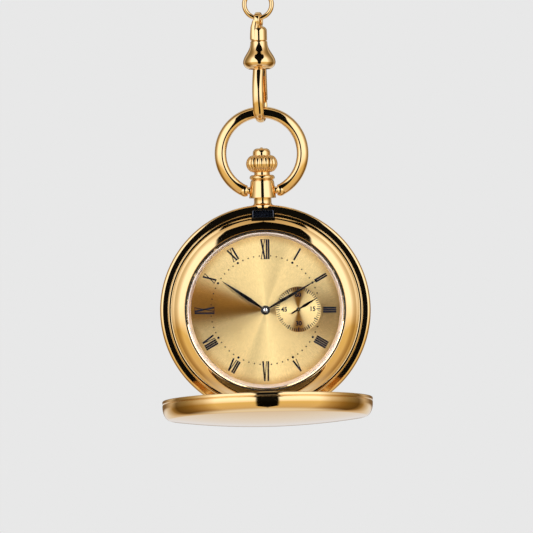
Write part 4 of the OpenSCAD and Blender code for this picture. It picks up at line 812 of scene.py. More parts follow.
class WATCH_OT_crown(bpy.types.Operator):
    """Builds the pendant, the ribbed crown and the bow"""

    bl_idname = "watch.crown"
    bl_label = "Pendant, crown and bow"

    def execute(self, context):
        size = context.scene.watch_crown
        self.pendant()
        self.crown(size)
        self.bow(size)
        return {'FINISHED'}

    def pendant(self):
        """The tube over the band: a flared foot, a collar, a beaded top and the bow's two bosses."""
        foot, neck, body, top, bead = BAND_R, 2.15, 3.3, 2.9, 0.65
        body_y = foot + 1.7
        body_top = body_y + 4.3
        bead_top = body_top + 0.1 + 2 * bead
        bore, floor_y = 1.98, bead_top - 3.1
        outline = [(1.2, foot - 0.8), (neck + 0.7, foot - 0.8), (neck + 0.7, foot - 0.1)]
        outline += arc(neck + 0.7, foot + 0.6, 0.7, -90, -180, 10)
        outline += [(neck, body_y), (body, body_y), (body, body_y + 0.25), (top, body_top - 0.15),
                    (top - 0.15, body_top), (top - 0.15, body_top + 0.1)]
        outline += arc(top + 0.2 - bead, bead_top - bead, bead, -90, 90, 20)
        outline += [(bore, bead_top), (bore, floor_y), (1.2, floor_y)]
        bm = lathe(outline, PENDANT, 128, 0.06)
        for side in (-1, 1):
            across = PENDANT @ Matrix.Translation((side * 3.1, 0, PIVOT_Y)) @ ACROSS
            boss = rod(0.9, 1.0, across)
            break_edges(boss, 0.06 * MM)
            bm = join(bm, boss)
        add_piece("pendant_tube", bm, FINISHES["gold"], "case", ["pendant"])

    def crown(self, size):
        """The ribbed crown, with the sleeve that goes into the pendant and a domed cap."""
        high, cap_high, cap_r = 4.2, 2.15, 2.17
        radius = half_width("crown")
        base = height_of("crown", 1) - CASE_Z - cap_high - high
        top = base + high
        steps, turns = 22, size.crown_ribs * 12
        barrel = [(0, base)]
        for i in range(steps + 1):
            share = i / steps
            barrel.append((radius * (0.6 + 0.4 * math.sin(math.pi * share) ** 0.55), base + high * share))
        barrel.append((0, top))
        bm = lathe(barrel, Matrix.Identity(4), turns)
        for vert in bm.verts:
            reach = vert.co.xy.length
            if reach > 0.5:
                angle = math.atan2(vert.co.y, vert.co.x)
                groove = (1 - abs(math.sin(size.crown_ribs * angle / 2))) ** 1.2
                ends = 1 - min(1.0, reach / radius)
                share = 1 - size.rib_depth * groove * (0.8 + 1.6 * ends)
                vert.co.x *= share
                vert.co.y *= share
        bmesh.ops.transform(bm, matrix=PENDANT, verts=bm.verts)
        skirt = height_of("crown", 0) - CASE_Z
        sleeve = [(1.45, skirt), (1.95, skirt), (1.95, base + 0.3), (1.45, base + 0.3)]
        cap = [(0, top - 0.2), (cap_r, top - 0.2), (cap_r, top + 0.55)]
        cap += arc(cap_r - 1.15, top + 0.55, 1.15, 0, 76, 14)
        cap += arc(0.0, top + 1.55, 0.42, 25, 90, 6)
        bm = join(bm, lathe(sleeve, PENDANT, 96, 0.04), lathe(cap, PENDANT, 96))
        add_piece("ribbed_crown", bm, FINISHES["gold"], "crown", ["crown"], weigh=False)

    def bow(self, size):
        """The round loop: its wire is flattened a little, and its ends are balls round the pins."""
        outer = half_width("bow")
        wire = size.bow_wire / 2
        radius = outer - wire
        gap, flat, pin_hole = 3.65, 0.42, 0.58
        end_x = gap + 0.75
        middle = PIVOT_Y + math.sqrt(radius ** 2 - end_x ** 2)
        half = math.asin(end_x / radius)
        turn = Matrix.Rotation(half - math.pi / 2, 4, 'Z')
        bm = bmesh.new()
        bmesh.ops.create_circle(bm, segments=48, radius=wire,
                                matrix=Matrix.Translation((radius, 0, 0)) @ UPRIGHT)
        bmesh.ops.spin(bm, geom=[*bm.verts, *bm.edges], cent=(0, 0, 0), axis=(0, 0, 1),
                       angle=math.tau - 2 * half, steps=220, use_merge=False, use_duplicate=False)
        for vert in bm.verts:
            lean = 1 - flat * (vert.co.z / wire) ** 2 / vert.co.xy.length
            vert.co.x *= lean
            vert.co.y *= lean
        bmesh.ops.transform(bm, matrix=Matrix.Translation((0, 0, middle)) @ UPRIGHT @ turn, verts=bm.verts)
        bmesh.ops.holes_fill(bm, edges=[e for e in bm.edges if e.is_boundary], sides=0)
        bmesh.ops.recalc_face_normals(bm, faces=bm.faces)
        bmesh.ops.transform(bm, matrix=PENDANT, verts=bm.verts)
        for side in (-1, 1):
            ball = bmesh.new()
            end = PENDANT @ Matrix.Translation((side * end_x, 0, PIVOT_Y)) @ ACROSS
            bmesh.ops.create_uvsphere(ball, u_segments=48, v_segments=32, radius=wire + 0.05, matrix=end)
            bm = cut(bm, ball, 'UNION')
        bm = cut(bm, block((-gap, -3, PIVOT_Y - 3), (gap, 3, PIVOT_Y + 3), PENDANT))
        across = PENDANT @ Matrix.Translation((0, 0, PIVOT_Y)) @ ACROSS
        bm = cut(bm, rod(pin_hole, 2 * gap + 2.4, across))
        add_piece("bow_loop", bm, FINISHES["gold"], "bow", ["bow"], weigh=False)


# Clasp


class WATCH_OT_clasp(bpy.types.Operator):
    """Builds the chain ring, the swivel and the hook with its gate"""

    bl_idname = "watch.clasp"
    bl_label = "Chain ring and clasp"

    def execute(self, context):
        self.ring()
        self.eye()
        self.bell()
        self.hook()
        self.gate()
        return {'FINISHED'}

    def ring(self):
        """The one ring of the chain that the clasp hangs from."""
        outer, wire = half_width("chain_ring"), 1.15 / 2
        section = arc(outer - wire, 0, wire, 0, 345, 23)
        bm = lathe(section, CHAIN @ UPRIGHT, 192)
        add_piece("chain_link", bm, FINISHES["gold"], "ring", ["chain_ring"], weigh=False)

    def eye(self):
        """The turning eye: a round loop, a web up its front, a domed collar and the stem in the bell."""
        hole, wire, wide = 1.25, 0.85, 1.5
        eye_z = -4.02
        collar_r, top, low = 2.05, eye_z - hole, BELL_TOP + 0.05
        flank = (wide - wire) / 2
        centre = hole + wire / 2
        loop = arc(centre, flank, wire / 2, 0, 180, 12) + arc(centre, -flank, wire / 2, 180, 360, 12)
        turned = CHAIN @ Matrix.Rotation(math.radians(-14), 4, 'Z')
        place = turned @ Matrix.Translation((0, 0, eye_z)) @ ACROSS
        bm = lathe(loop, place, 96)
        web = [(-0.75, -0.9, low + 0.4, 1.25, 1.1), (-0.78, -1.1, low + 1.7, 1.12, 0.9),
               (-0.72, -1.4, top - 0.3, 0.96, 0.62), (-0.5, -1.62, top + 0.6, 0.8, 0.46),
               (-0.36, -1.68, eye_z, 0.7, 0.42)]
        bm = join(bm, loft([Matrix.Translation((side, back, high)) @ Matrix.Diagonal((wide, thick, 1, 1))
                            for side, back, high, wide, thick in web], turned, 40))
        shoulder = 1.15
        collar = [(0, low), (collar_r - 0.15, low), (collar_r, low + 0.15)]
        collar += arc(collar_r - shoulder, top - 0.2 - shoulder, shoulder, 0, 90, 16) + [(0, top - 0.2)]
        ring = lathe(collar, CHAIN, 96)
        ring = cut(ring, rod(hole, 8, place, 96))
        low_r, head_r, stem_end = 0.8, 1.3, low - 3.2
        stem = lathe([(0, low + 0.2), (low_r, low + 0.2), (low_r, low - 2.6), (head_r, low - 2.6),
                      (head_r, stem_end), (0, stem_end)], CHAIN, 48, 0.05)
        add_piece("swivel_eye_loop", join(bm, ring, stem), FINISHES["gold"], "eye", ["swivel_eye"])

    def bell(self):
        """The bell-shaped socket: a rounded roof, a long flare, a round lip and an open mouth."""
        radius, lip = half_width("swivel_bell"), 1.75
        top_r, mouth, hole, corner = 2.1, 2.75, 0.83, 0.25
        flare_top = BELL_TOP - 0.35
        fall = BELL_TOP - BELL_Z - 0.35 - lip
        spread = radius - 0.02 - top_r
        flare = []
        for i in range(21):
            share = i / 20
            swell = share ** 1.12
            flare.append((top_r + spread * (3 - 2 * swell) * swell ** 2, flare_top - share * fall))
        outline = [(hole, BELL_TOP), (top_r - corner, BELL_TOP)]
        outline += arc(top_r - corner, BELL_TOP - corner, corner, 80, 20, 4)
        outline += flare + arc(radius - lip, BELL_Z + lip, lip, -4, -90, 18)
        roof = BELL_TOP - 1.6
        outline += [(mouth, BELL_Z), (mouth, BELL_Z + 3), (1.5, roof - 0.5), (1.5, roof), (hole, roof)]
        bm = lathe(outline, CHAIN, 160)
        add_piece("swivel_bell_socket", bm, FINISHES["gold"], "hook", ["swivel_bell"])

    def hook(self):
        """The hook, lofted along its middle line from its root in the bell round to its nose behind.

        Each row of the line is how far back it lies, its height, its thickness and its half width.
        """
        root = BELL_Z + 1.9
        bend_z = BAR_Z + HOOK_BEND
        line = [(-1.1, root, 1.7, 1.3), (-1.5, BELL_Z, 1.8, 1.35), (-2.1, BELL_Z - 1.6, 1.85, 1.35),
                (-2.75, BELL_Z - 3.6, 1.8, 1.35), (-3.05, BELL_Z - 5.6, 1.7, 1.35),
                (-3.0, bend_z + 1.7, 1.6, 1.35), (-2.75, bend_z + 0.7, 1.45, 1.32)]
        for i in range(11):
            angle = math.radians(180 + 18 * i)
            weight = 1 - abs(math.sin(angle)) ** 1.5
            wide = 0.95 + (0.4 if i < 6 else 0.22) * weight
            line.append((HOOK_BEND * math.cos(angle), bend_z + HOOK_BEND * math.sin(angle),
                         1.35 - 0.2 * (1 - weight), wide))
        line += [(HOOK_BEND + 0.12, bend_z + 1, 1.25, 1.2), (HOOK_BEND + 0.12, bend_z + 1.9, 1.2, 1.2),
                 (HOOK_BEND + 0.05, NOSE_Z - 0.12, 0.9, 1.0), (HOOK_BEND, NOSE_Z, 0.5, 0.7)]
        sections = []
        for i, (back, high, thick, wide) in enumerate(line):
            before, after = line[max(i - 1, 0)], line[min(i + 1, len(line) - 1)]
            slope = math.atan2(after[1] - before[1], after[0] - before[0])
            sections.append(Matrix.Translation((0, back, high)) @ Matrix.Rotation(slope, 4, 'X')
                            @ UPRIGHT @ Matrix.Diagonal((wide, thick / 2, 1, 1)))
        bm = loft(sections, HOOK, 20)
        plug_r, low, high = 2.7, root - 0.1, root + 0.85
        plug = lathe([(0, low), (plug_r, low), (plug_r, high), (0, high)], CHAIN, 64, 0.05)
        middle, half = 1.525, 0.175
        cheeks = [block((s * middle - half, -0.3, BELL_Z + 0.1), (s * middle + half, 2.0, root), HOOK)
                  for s in (-1, 1)]
        piece = add_piece("clasp_hook_bar", join(bm, plug, *cheeks), FINISHES["gold"], "hook",
                          ["clasp_hook"], weigh=False)
        smooth = piece.modifiers.new("Smooth", 'SUBSURF')
        smooth.levels = smooth.render_levels = 2

    def gate(self):
        """The lever that closes the hook: a knuckle on its pin, a straight arm and a hooked tip."""
        pin_y, pin_z, knuckle, half = 1.5, BELL_Z + 0.9, 0.75, 1.3
        foot, tip = NOSE_Z - 0.12, HOOK_BEND - 0.72
        outline = [(tip - 0.4, foot + 0.6), (tip - 0.5, foot - 0.35), (tip + 0.1, foot - 0.45),
                   (tip + 0.15, NOSE_Z + 0.1), (tip + 0.9, NOSE_Z + 0.1), (tip + 0.9, NOSE_Z + 0.9)]
        outline += arc(pin_y, pin_z, knuckle, 0, 262, 24)
        place = HOOK @ Matrix(((0, 0, 1, 0), (1, 0, 0, 0), (0, 1, 0, 0), (0, 0, 0, 1)))
        bm = plate(outline, -half, half, place, 0.12)
        add_piece("clasp_gate_bar", bm, FINISHES["gold"], "gate", ["clasp_gate"])


# Dial and hands


def polar_map(bm, centre):
    """Gives a flat round piece a map whose first axis runs round and whose second runs outwards, in mm."""
    layer = bm.loops.layers.uv.new("round")
    for face in bm.faces:
        middle = face.calc_center_median() / MM
        base = math.atan2(middle.z - CASE_Z - centre[1], middle.x - centre[0])
        for loop in face.loops:
            x, y = loop.vert.co.x / MM - centre[0], loop.vert.co.z / MM - CASE_Z - centre[1]
            reach = math.hypot(x, y)
            turn = math.remainder(math.atan2(y, x) - base, math.tau) if reach > 1e-4 else 0.0
            loop[layer].uv = ((base + turn) / math.tau, reach)


def on_dial(radius, angle, turn=0.0):
    """Places a drawing on the dial: its origin at a radius and a clockwise angle from XII."""
    out = Matrix.Rotation(-angle, 4, 'Z') @ Matrix.Translation((0, radius, 0))
    return out @ Matrix.Rotation(turn, 4, 'Z')


def bar(start, end, width):
    """The outline of a straight stroke."""
    along = (Vector(end) - Vector(start)).normalized() * width / 2
    side = Vector((-along.y, along.x))
    return [Vector(start) - side, Vector(end) - side, Vector(end) + side, Vector(start) + side]


def letter_strokes(letter, high, heavy, hair):
    """The strokes of one Roman numeral letter, centred on x, and its width."""
    half = high / 2
    if letter == "I":
        return [bar((0, -half), (0, half), heavy)], heavy
    if letter == "V":
        wide = 0.84
        strokes = [bar((-wide / 2, half), (0, -half), heavy), bar((wide / 2, half), (0.06, -half), hair)]
        return strokes, wide + 0.3
    wide = 0.92
    serif, serif_stroke = wide / 2 + 0.16, 0.12
    strokes = [bar((-wide / 2, half), (wide / 2, -half), heavy),
               bar((wide / 2, half), (-wide / 2, -half), hair)]
    strokes += [bar((-serif, end), (serif, end), serif_stroke) for end in (half - 0.06, 0.06 - half)]
    return strokes, wide + 0.3


class WATCH_OT_dial(bpy.types.Operator):
    """Builds the sunburst dial and the snailed seconds dial, with their print"""

    bl_idname = "watch.dial"
    bl_label = "Dials and print"

    def execute(self, context):
        size = context.scene.watch_dial
        rings = [1.0 + i * (REHAUT_R - 1.05) / 12 for i in range(13)]
        outline = [(r, DIAL_FRONT) for r in rings] + [(REHAUT_R - 0.05, DIAL_BACK), (1.0, DIAL_BACK)]
        bm = lathe(outline, WATCH)
        hole = rod(5.6, 3, WATCH @ Matrix.Translation((SUB_X, 0, DIAL_BACK)), 128)
        bm = cut(bm, hole)
        polar_map(bm, (0, 0))
        feet = [rod(0.35, 1.8, WATCH @ Matrix.Translation((x, y, DIAL_BACK - 0.85)), 24)
                for x, y in ((-14.2, -7.6), (14.2, 5.4))]
        add_piece("dial_plate", join(bm, *feet), FINISHES["dial"], "case", ["dial"],
                  weigh=False)
        self.seconds_dial()
        turned = WATCH @ Matrix.Rotation(size.print_turn, 4, 'Z')
        self.numerals(size, turned)
        self.dots(size, turned)
        self.seconds_print(size)
        return {'FINISHED'}

    def seconds_dial(self):
        """The sunk seconds dial, a thin plate behind the hole in the main one."""
        top, thick, hole, outer = DIAL_BACK, 0.2, 0.3, 6.0
        rings = [hole + i * (outer - hole) / 16 for i in range(17)]
        outline = [(r, top) for r in rings] + [(outer, top - thick), (hole, top - thick)]
        bm = lathe(outline, WATCH @ Matrix.Translation((SUB_X, 0, 0)), 160)
        polar_map(bm, (SUB_X, 0))
        add_piece("seconds_dial_plate", bm, FINISHES["snail"], "case", ["seconds_subdial"],
                  weigh=False)

    def numerals(self, size, turned):
        """The twelve Roman numerals, whose feet point outwards from IIII to VIII."""
        names = ["XII", "I", "II", "III", "IIII", "V", "VI", "VII", "VIII", "IX", "X", "XI"]
        outer, short, long = 17.43, 3.3, 4.9
        parts = []
        for hour, name in enumerate(names):
            high = long if name in ("XII", "VI", "IX") else short
            flip = math.pi if 4 <= hour <= 8 else 0.0
            strokes = [letter_strokes(letter, high, size.stroke, size.hair_stroke) for letter in name]
            gap = 0.08
            width = sum(w for _, w in strokes) + gap * (len(strokes) - 1)
            pen = -width / 2
            place = turned @ on_dial(outer - high / 2, math.tau * hour / 12, flip)
            for outlines, wide in strokes:
                for outline in outlines:
                    moved = [(p[0] + pen + wide / 2, p[1]) for p in outline]
                    parts.append(plate(moved, DIAL_FRONT, DIAL_FRONT + size.print_height, place))
                pen += wide + gap
        add_piece("hour_numerals", join(*parts), FINISHES["ink"], "case", ())

    def dots(self, size, turned):
        """The minute dots, which leave out the quarters and the seconds dial."""
        hour_dots, minute_dots = [], []
        free_r = 5.75
        for minute in range(60):
            angle = math.tau * minute / 60
            spot = Vector((math.sin(angle), math.cos(angle))) * size.dot_circle
            if minute % 15 == 0 or (spot - Vector((SUB_X, 0))).length < free_r:
                continue
            on_hour = minute % 5 == 0
            radius = 0.29 if on_hour else 0.19
            place = turned @ Matrix.Translation((spot.x, spot.y, DIAL_FRONT + size.print_height / 2))
            dot = rod(radius, size.print_height, place, 20 if on_hour else 12)
            (hour_dots if on_hour else minute_dots).append(dot)
        add_piece("hour_dots", join(*hour_dots), FINISHES["ink"], "case", ())
        add_piece("minute_dots", join(*minute_dots), FINISHES["brown_ink"], "case", ())

    def seconds_print(self, size):
        """The seconds scale: sixty ticks and the four numbers."""
        place = WATCH @ Matrix.Translation((SUB_X, 0, 0))
        top = DIAL_BACK + size.print_height
        tick_end = 5.45
        parts = []
        for second in range(60):
            long = second % 5 == 0
            inner, wide = (4.45, 0.3) if long else (4.7, 0.19)
            tick = bar((0, inner), (0, tick_end), wide)
            parts.append(plate(tick, DIAL_BACK, top, place @ on_dial(0, math.tau * second / 60)))
        for text, angle in (("60", 0), ("15", 90), ("30", 180), ("45", 270)):
            parts.append(self.digits(text, math.radians(angle), place, top))
        add_piece("seconds_scale", join(*parts), FINISHES["ink"], "case", ())

    def digits(self, text, angle, place, top):
        """Upright digits, made a mesh and laid on the seconds dial."""
        curve = bpy.data.curves.new("digits", 'FONT')
        curve.body = text
        curve.size = 1.5
        curve.align_x = 'CENTER'
        curve.align_y = 'CENTER'
        curve.extrude = (top - DIAL_BACK) / 2
        curve.offset = 0.055
        lettering = bpy.data.objects.new("digits", curve)
        bpy.context.scene.collection.objects.link(lettering)
        bpy.context.view_layer.update()
        bm = bmesh.new()
        bm.from_mesh(lettering.to_mesh())
        lettering.to_mesh_clear()
        bpy.data.objects.remove(lettering)
        bpy.data.curves.remove(curve)
        reach = 3.5
        spot = Matrix.Translation((reach * math.sin(angle), reach * math.cos(angle), (top + DIAL_BACK) / 2))
        bmesh.ops.remove_doubles(bm, verts=bm.verts, dist=1e-5)
        bmesh.ops.transform(bm, matrix=place @ spot, verts=bm.verts)
        return bm


class WATCH_OT_hands(bpy.types.Operator):
    """Builds the three leaf hands with their hubs"""

    bl_idname = "watch.hands"
    bl_label = "Hands"

    def execute(self, context):
        size = context.scene.watch_dial
        hour_angle, minute_angle, second_angle = (math.radians(a) for a in (305.1, 61.0, 60.0))
        hour_z, minute_z, second_z = DIAL_FRONT + 0.45, DIAL_FRONT + 0.9, DIAL_BACK + 0.25
        thick = 0.18
        hour_bore, minute_bore, second_bore = 0.87, 0.56, 0.12
        hour_hub, minute_hub, second_hub = 1.15, 1.1, 0.48
        hour = self.leaf(size.hour_len, 0.95, 0.24, 0.0, hour_z, thick)
        hub = lathe([(hour_bore, hour_z), (hour_hub, hour_z), (hour_hub, hour_z + thick),
                     (hour_bore, hour_z + thick)], Matrix.Identity(4), 64, 0.04)
        self.fit("hour_hand_leaf", join(hour, hub), hour_angle, (0, 0), "hour", "hour_hand")
        minute = self.leaf(size.minute_len, 0.8, 0.22, 0.0, minute_z, thick)
        hub = lathe([(minute_bore, minute_z), (minute_hub, minute_z), (minute_hub, minute_z + 0.16),
                     (0.98, minute_z + 0.3), (0.72, minute_z + 0.3), (0.62, minute_z + 0.2),
                     (minute_bore, minute_z + 0.2)], Matrix.Identity(4), 64, 0.03)
        self.fit("minute_hand_leaf", join(minute, hub), minute_angle, (0, 0), "centre", "minute_hand")
        outline = [(0.13, minute_z + 0.18), (minute_bore, minute_z + 0.18)]
        outline += arc(0.36, minute_z + 0.2, 0.2, 0, 70, 5) + [(0.13, minute_z + 0.42)]
        cap = lathe(outline, WATCH, 64)
        add_piece("cannon_pinion_rivet", cap, FINISHES["steel"], "centre", ())
        second = self.leaf(size.second_len, 0.72, 0.2, -2.1, second_z, thick)
        hub = lathe([(second_bore, second_z), (second_hub, second_z), (second_hub, second_z + 0.2),
                     (0.36, second_z + 0.3), (second_bore, second_z + 0.3)], Matrix.Identity(4), 48, 0.03)
        self.fit("seconds_hand_leaf", join(second, hub), second_angle, (SUB_X, 0), "fourth", "seconds_hand")
        return {'FINISHED'}

    def leaf(self, length, width, neck, tail, z, thick):
        """A leaf with a ridge down its middle, so that its two slopes catch different light."""
        right = [(neck, 0.5), (neck, 1.5 * min(1.0, length / 8)), (width / 2, length * 0.36),
                 (width * 0.42, length * 0.55), (width * 0.26, length * 0.78), (0.05, length)]
        before = [(0, tail), (0.2, tail * 0.8)] if tail else []
        after = [(-0.2, tail * 0.8)] if tail else []
        outline = before + right + [(-x, y) for x, y in reversed(right)] + after
        bm = plate(outline, z, z + thick * 0.55)
        top = [f for f in bm.faces if f.normal.z > 0.9]
        bmesh.ops.inset_region(bm, faces=top, thickness=neck * 0.45, depth=0.0, use_even_offset=True)
        bmesh.ops.translate(bm, vec=(0, 0, thick * 0.5), verts=list({v for f in top for v in f.verts}))
        return bm

    def fit(self, name, bm, angle, centre, body, node):
        """Sets a hand on its axis at an angle from XII, and makes it a finished piece."""
        place = WATCH @ Matrix.Translation((*centre, 0)) @ Matrix.Rotation(-angle, 4, 'Z')
        bmesh.ops.transform(bm, matrix=place, verts=bm.verts)
        add_piece(name, bm, FINISHES["black"], body, [node], smooth_limit=12, weigh=False)


# Stage


def at_rise(degrees):
    """A height over the level as a share of the way from straight below to straight above."""
    return (degrees + 90) / 180


def at_turn(degrees):
    """A turn to either side as a share of the way from the viewer to straight behind."""
    return degrees / 180


# Half the width of the dark gap on the viewer's side as a share of a half turn, by height
GAP_STOPS = [(at_rise(-46), 0.0), (at_rise(-36), 0.063), (at_rise(12), 0.063), (at_rise(25), 0.11),
             (at_rise(36), 0.165), (at_rise(48), 0.245), (at_rise(60), 0.3), (at_rise(68), 0.12),
             (at_rise(73), 0.0)]
# The cloth's colour by turn, and what it is multiplied by at each height
SIDE_STOPS = [(0.0, "#FFFFFD"), (at_turn(58), "#FFFFFD"), (at_turn(74), "#CBBFAA"),
              (at_turn(90), "#9E8B69"), (at_turn(100), "#867655"), (at_turn(118), "#69593F"),
              (at_turn(132), "#BCAF9E"), (1.0, "#CBC7BF")]
LEVEL_STOPS = [(0.0, "#958161"), (at_rise(-34), "#C5AD81"), (at_rise(-12), "#CEB67C"),
               (at_rise(-4), "#F3ECDF"), (at_rise(3), "#FFFFFF"), (at_rise(40), "#FFFFFF"),
               (at_rise(64), "#C4B190"), (1.0, "#957C59")]
# How far the backdrop takes the cloth's place, by height underneath and by turn behind
UNDER_STOPS = [(at_rise(-62), 1.0), (at_rise(-42), 0.0)]
BEHIND_STOPS = [(at_turn(128), 0.0), (at_turn(150), 1.0)]
# The backdrop's colour by height
BACKDROP_STOPS = [(at_rise(-70), "#CECED1"), (at_rise(-45), "#BCAD9B"), (at_rise(-31), "#C2B6AA"),
                  (at_rise(-22), "#CAC7C5"), (at_rise(-11), "#CDCED4"), (at_rise(-8), "#C4BFBC"),
                  (at_rise(-5.5), "#6F593F"), (at_rise(30), "#7C6F59"), (at_rise(50), "#CBC7BF"),
                  (1.0, "#959089")]


def set_stops(band, stops):
    """Fills a colour ramp with stops, each a share and a hex colour or a grey number."""
    while len(band.elements) < len(stops):
        band.elements.new(0.5)
    for element, (share, value) in zip(band.elements, stops):
        element.position = share
        element.color = linear(value) if isinstance(value, str) else (value, value, value, 1)


class WATCH_OT_stage(bpy.types.Operator):
    """Sets the camera, the two lamps, the cloth tent and the floor"""

    bl_idname = "watch.stage"
    bl_label = "Camera, light and floor"

    def execute(self, context):
        studio = context.scene.watch_studio
        self.camera(context, studio)
        self.world(context)
        self.lamps(context, studio)
        self.tent(context, studio)
        self.floor(context)
        context.scene.view_settings.view_transform = 'Standard'
        return {'FINISHED'}

    def camera(self, context, studio):
        """A long lens in front of the case, level with the picture's middle."""
        sensor = 36
        data = bpy.data.cameras.new("camera")
        data.sensor_width = sensor
        data.lens = sensor * studio.camera_distance / studio.view_width
        data.clip_start, data.clip_end = 0.01, 50
        camera = bpy.data.objects.new("camera", data)
        stand = Vector(PICTURE_MIDDLE) + Vector((0, -studio.camera_distance, 0))
        roll = Matrix.Rotation(-studio.camera_roll, 4, 'Z')
        camera.matrix_world = Matrix.Translation(stand) @ UPRIGHT @ roll
        context.scene.collection.objects.link(camera)
        context.scene.camera = camera

    def world(self, context):
        """An even pale room, which is the picture's background."""
        world = bpy.data.worlds.new("pale_room")
        world.use_nodes = True
        tree = world.node_tree
        tree.nodes.clear()
        room = add_node(tree, 'ShaderNodeBackground', inputs={"Color": linear(PALE), "Strength": 1.0})
        add_node(tree, 'ShaderNodeOutputWorld', inputs={"Surface": room.outputs["Background"]})
        context.scene.world = world

    def lamps(self, context, studio):
        """Two tall soft boxes, left and right, that light the dial through the glass."""
        wide, tall, reach = 0.95, 2.2, 1.1
        rise = math.radians(22)
        for name, azimuth in (("left_box", -38), ("right_box", 38)):
            turn = math.radians(azimuth)
            away = Vector((math.sin(turn) * math.cos(rise), -math.cos(turn) * math.cos(rise),
                           math.sin(rise)))
            data = bpy.data.lights.new(name, 'AREA')
            data.shape = 'RECTANGLE'
            data.size, data.size_y = wide, tall
            data.energy = studio.dial_light * math.pi * wide * tall
            lamp = bpy.data.objects.new(name, data)
            facing = away.to_track_quat('Z', 'Y').to_matrix().to_4x4()
            lamp.matrix_world = Matrix.Translation(Vector(LIGHT_MIDDLE) + away * reach) @ facing
            lamp.visible_camera = lamp.visible_glossy = False
            context.scene.collection.objects.link(lamp)

    def tent(self, context, studio):
        """The cloth tent that the metal mirrors: two lit sides, and a dark gap that opens out overhead."""
        tent_r, edge_from, edge_to, gap_glow = 2.4, -0.004, 0.014, 0.004
        bm = bmesh.new()
        bmesh.ops.create_uvsphere(bm, u_segments=64, v_segments=32, radius=tent_r,
                                  matrix=Matrix.Translation(LIGHT_MIDDLE))
        mesh = bpy.data.meshes.new("tent")
        bm.to_mesh(mesh)
        bm.free()
        material = bpy.data.materials.new("lit_cloth")
        material.use_nodes = True
        tree = material.node_tree
        tree.nodes.clear()
        place = add_node(tree, 'ShaderNodeTexCoord').outputs["Object"]
        away = add_node(tree, 'ShaderNodeVectorMath', {"operation": 'SUBTRACT'}, {
            0: place, 1: LIGHT_MIDDLE})
        unit = add_node(tree, 'ShaderNodeVectorMath', {"operation": 'NORMALIZE'}, {
            0: away.outputs["Vector"]})
        parts = add_node(tree, 'ShaderNodeSeparateXYZ', inputs={"Vector": unit.outputs["Vector"]})
        turn = add_node(tree, 'ShaderNodeMath', {"operation": 'ARCTAN2'}, {
            0: parts.outputs["X"], 1: parts.outputs["Y"]})
        size = add_node(tree, 'ShaderNodeMath', {"operation": 'ABSOLUTE'}, {0: turn.outputs["Value"]})
        around = add_node(tree, 'ShaderNodeMapRange', inputs={
            "Value": size.outputs["Value"], "From Min": 0.0, "From Max": math.pi, "To Min": 1.0,
            "To Max": 0.0})
        angle = add_node(tree, 'ShaderNodeMath', {"operation": 'ARCSINE'}, {0: parts.outputs["Z"]})
        rise = add_node(tree, 'ShaderNodeMapRange', inputs={
            "Value": angle.outputs["Value"], "From Min": -math.pi / 2, "From Max": math.pi / 2})
        shade = {}
        for name, source, stops in (("gap", rise, GAP_STOPS), ("sides", around, SIDE_STOPS),
                                    ("level", rise, LEVEL_STOPS), ("under", rise, UNDER_STOPS),
                                    ("behind", around, BEHIND_STOPS), ("backdrop", rise, BACKDROP_STOPS)):
            ramp = add_node(tree, 'ShaderNodeValToRGB', inputs={"Fac": source.outputs["Result"]})
            set_stops(ramp.color_ramp, stops)
            shade[name] = ramp.outputs["Color"]
        past = add_node(tree, 'ShaderNodeMath', {"operation": 'SUBTRACT'}, {
            0: around.outputs["Result"], 1: shade["gap"]})
        cloth = add_node(tree, 'ShaderNodeMapRange', {"interpolation_type": 'SMOOTHSTEP'}, {
            "Value": past.outputs["Value"], "From Min": edge_from, "From Max": edge_to,
            "To Min": gap_glow, "To Max": 1.0})
        lit = add_node(tree, 'ShaderNodeVectorMath', {"operation": 'MULTIPLY'}, {
            0: shade["sides"], 1: shade["level"]})
        shaded = add_node(tree, 'ShaderNodeVectorMath', {"operation": 'SCALE'}, {0: lit.outputs["Vector"]})
        tree.links.new(cloth.outputs["Result"], shaded.inputs["Scale"])
        pale = add_node(tree, 'ShaderNodeMath', {"operation": 'MAXIMUM'}, {
            0: shade["under"], 1: shade["behind"]})
        mixed = add_node(tree, 'ShaderNodeMix', {"data_type": 'RGBA'}, {
            0: pale.outputs["Value"], 6: shaded.outputs["Vector"], 7: shade["backdrop"]})
        glow = add_node(tree, 'ShaderNodeEmission', inputs={
            "Color": mixed.outputs[2], "Strength": studio.side_light})
        add_node(tree, 'ShaderNodeOutputMaterial', inputs={"Surface": glow.outputs["Emission"]})
        mesh.materials.append(material)
        tent = bpy.data.objects.new("tent", mesh)
        tent.visible_camera = tent.visible_diffuse = tent.visible_shadow = False
        context.scene.collection.objects.link(tent)

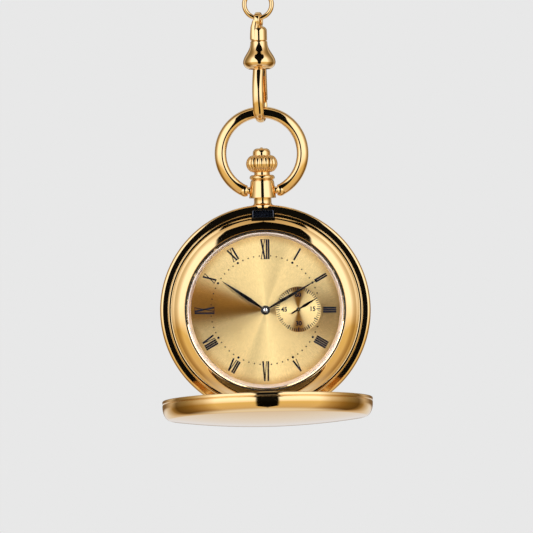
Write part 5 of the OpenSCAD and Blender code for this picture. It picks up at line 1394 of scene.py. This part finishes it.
    def floor(self, context):
        """The pale floor under the watch, which fades into the background."""
        floor_z, floor_r, fade_from, fade_to = -0.19, 3.0, 0.2, 0.38
        bm = bmesh.new()
        bmesh.ops.create_circle(bm, cap_ends=True, segments=64, radius=floor_r,
                                matrix=Matrix.Translation((0, 0, floor_z)))
        mesh = bpy.data.meshes.new("floor")
        bm.to_mesh(mesh)
        bm.free()
        material = bpy.data.materials.new("pale_floor")
        material.use_nodes = True
        tree = material.node_tree
        tree.nodes.clear()
        near = add_node(tree, 'ShaderNodeBsdfDiffuse', inputs={"Color": linear(PALE)})
        far = add_node(tree, 'ShaderNodeEmission', inputs={"Color": linear(PALE), "Strength": 1.0})
        place = add_node(tree, 'ShaderNodeTexCoord').outputs["Object"]
        reach = add_node(tree, 'ShaderNodeVectorMath', {"operation": 'LENGTH'}, {0: place})
        fade = add_node(tree, 'ShaderNodeMapRange', {"interpolation_type": 'SMOOTHSTEP'}, {
            "Value": reach.outputs["Value"], "From Min": fade_from, "From Max": fade_to})
        blend = add_node(tree, 'ShaderNodeMixShader', inputs={
            0: fade.outputs["Result"], 1: near.outputs["BSDF"], 2: far.outputs["Emission"]})
        add_node(tree, 'ShaderNodeOutputMaterial', inputs={"Surface": blend.outputs["Shader"]})
        mesh.materials.append(material)
        floor = bpy.data.objects.new("floor", mesh)
        floor.visible_glossy = False
        context.scene.collection.objects.link(floor)


# Panel and registration


OPERATORS = (WATCH_OT_finishes, WATCH_OT_case, WATCH_OT_lid, WATCH_OT_glass, WATCH_OT_crown,
             WATCH_OT_clasp, WATCH_OT_dial, WATCH_OT_hands, WATCH_OT_stage)
SETTINGS = {"watch_case": WatchCaseSettings, "watch_crown": WatchCrownSettings,
            "watch_dial": WatchDialSettings, "watch_finish": WatchFinishSettings,
            "watch_studio": WatchStudioSettings}


class WATCH_PT_panel(bpy.types.Panel):
    """Lists the steps that build the watch, and the sizes that they use"""

    bl_idname = "WATCH_PT_panel"
    bl_label = "Pocket watch"
    bl_space_type = 'VIEW_3D'
    bl_region_type = 'UI'
    bl_category = "Watch"

    def draw(self, context):
        for operator in OPERATORS:
            self.layout.operator(operator.bl_idname)
        for name, group in SETTINGS.items():
            box = self.layout.box()
            for prop in group.__annotations__:
                box.prop(getattr(context.scene, name), prop)


def register():
    """Makes the classes known, and hangs each group of settings on the scene."""
    for cls in (*SETTINGS.values(), *OPERATORS, WATCH_PT_panel):
        bpy.utils.register_class(cls)
    for name, group in SETTINGS.items():
        setattr(bpy.types.Scene, name, PointerProperty(type=group))


def unregister():
    """Takes back all that register does."""
    for name in SETTINGS:
        delattr(bpy.types.Scene, name)
    for cls in reversed((*SETTINGS.values(), *OPERATORS, WATCH_PT_panel)):
        bpy.utils.unregister_class(cls)


def main():
    """Registers the classes, builds the pieces in order and keeps the sizes."""
    register()
    for operator in OPERATORS:
        group, name = operator.bl_idname.split(".")
        getattr(getattr(bpy.ops, group), name)()


if __name__ == "__main__":
    main()
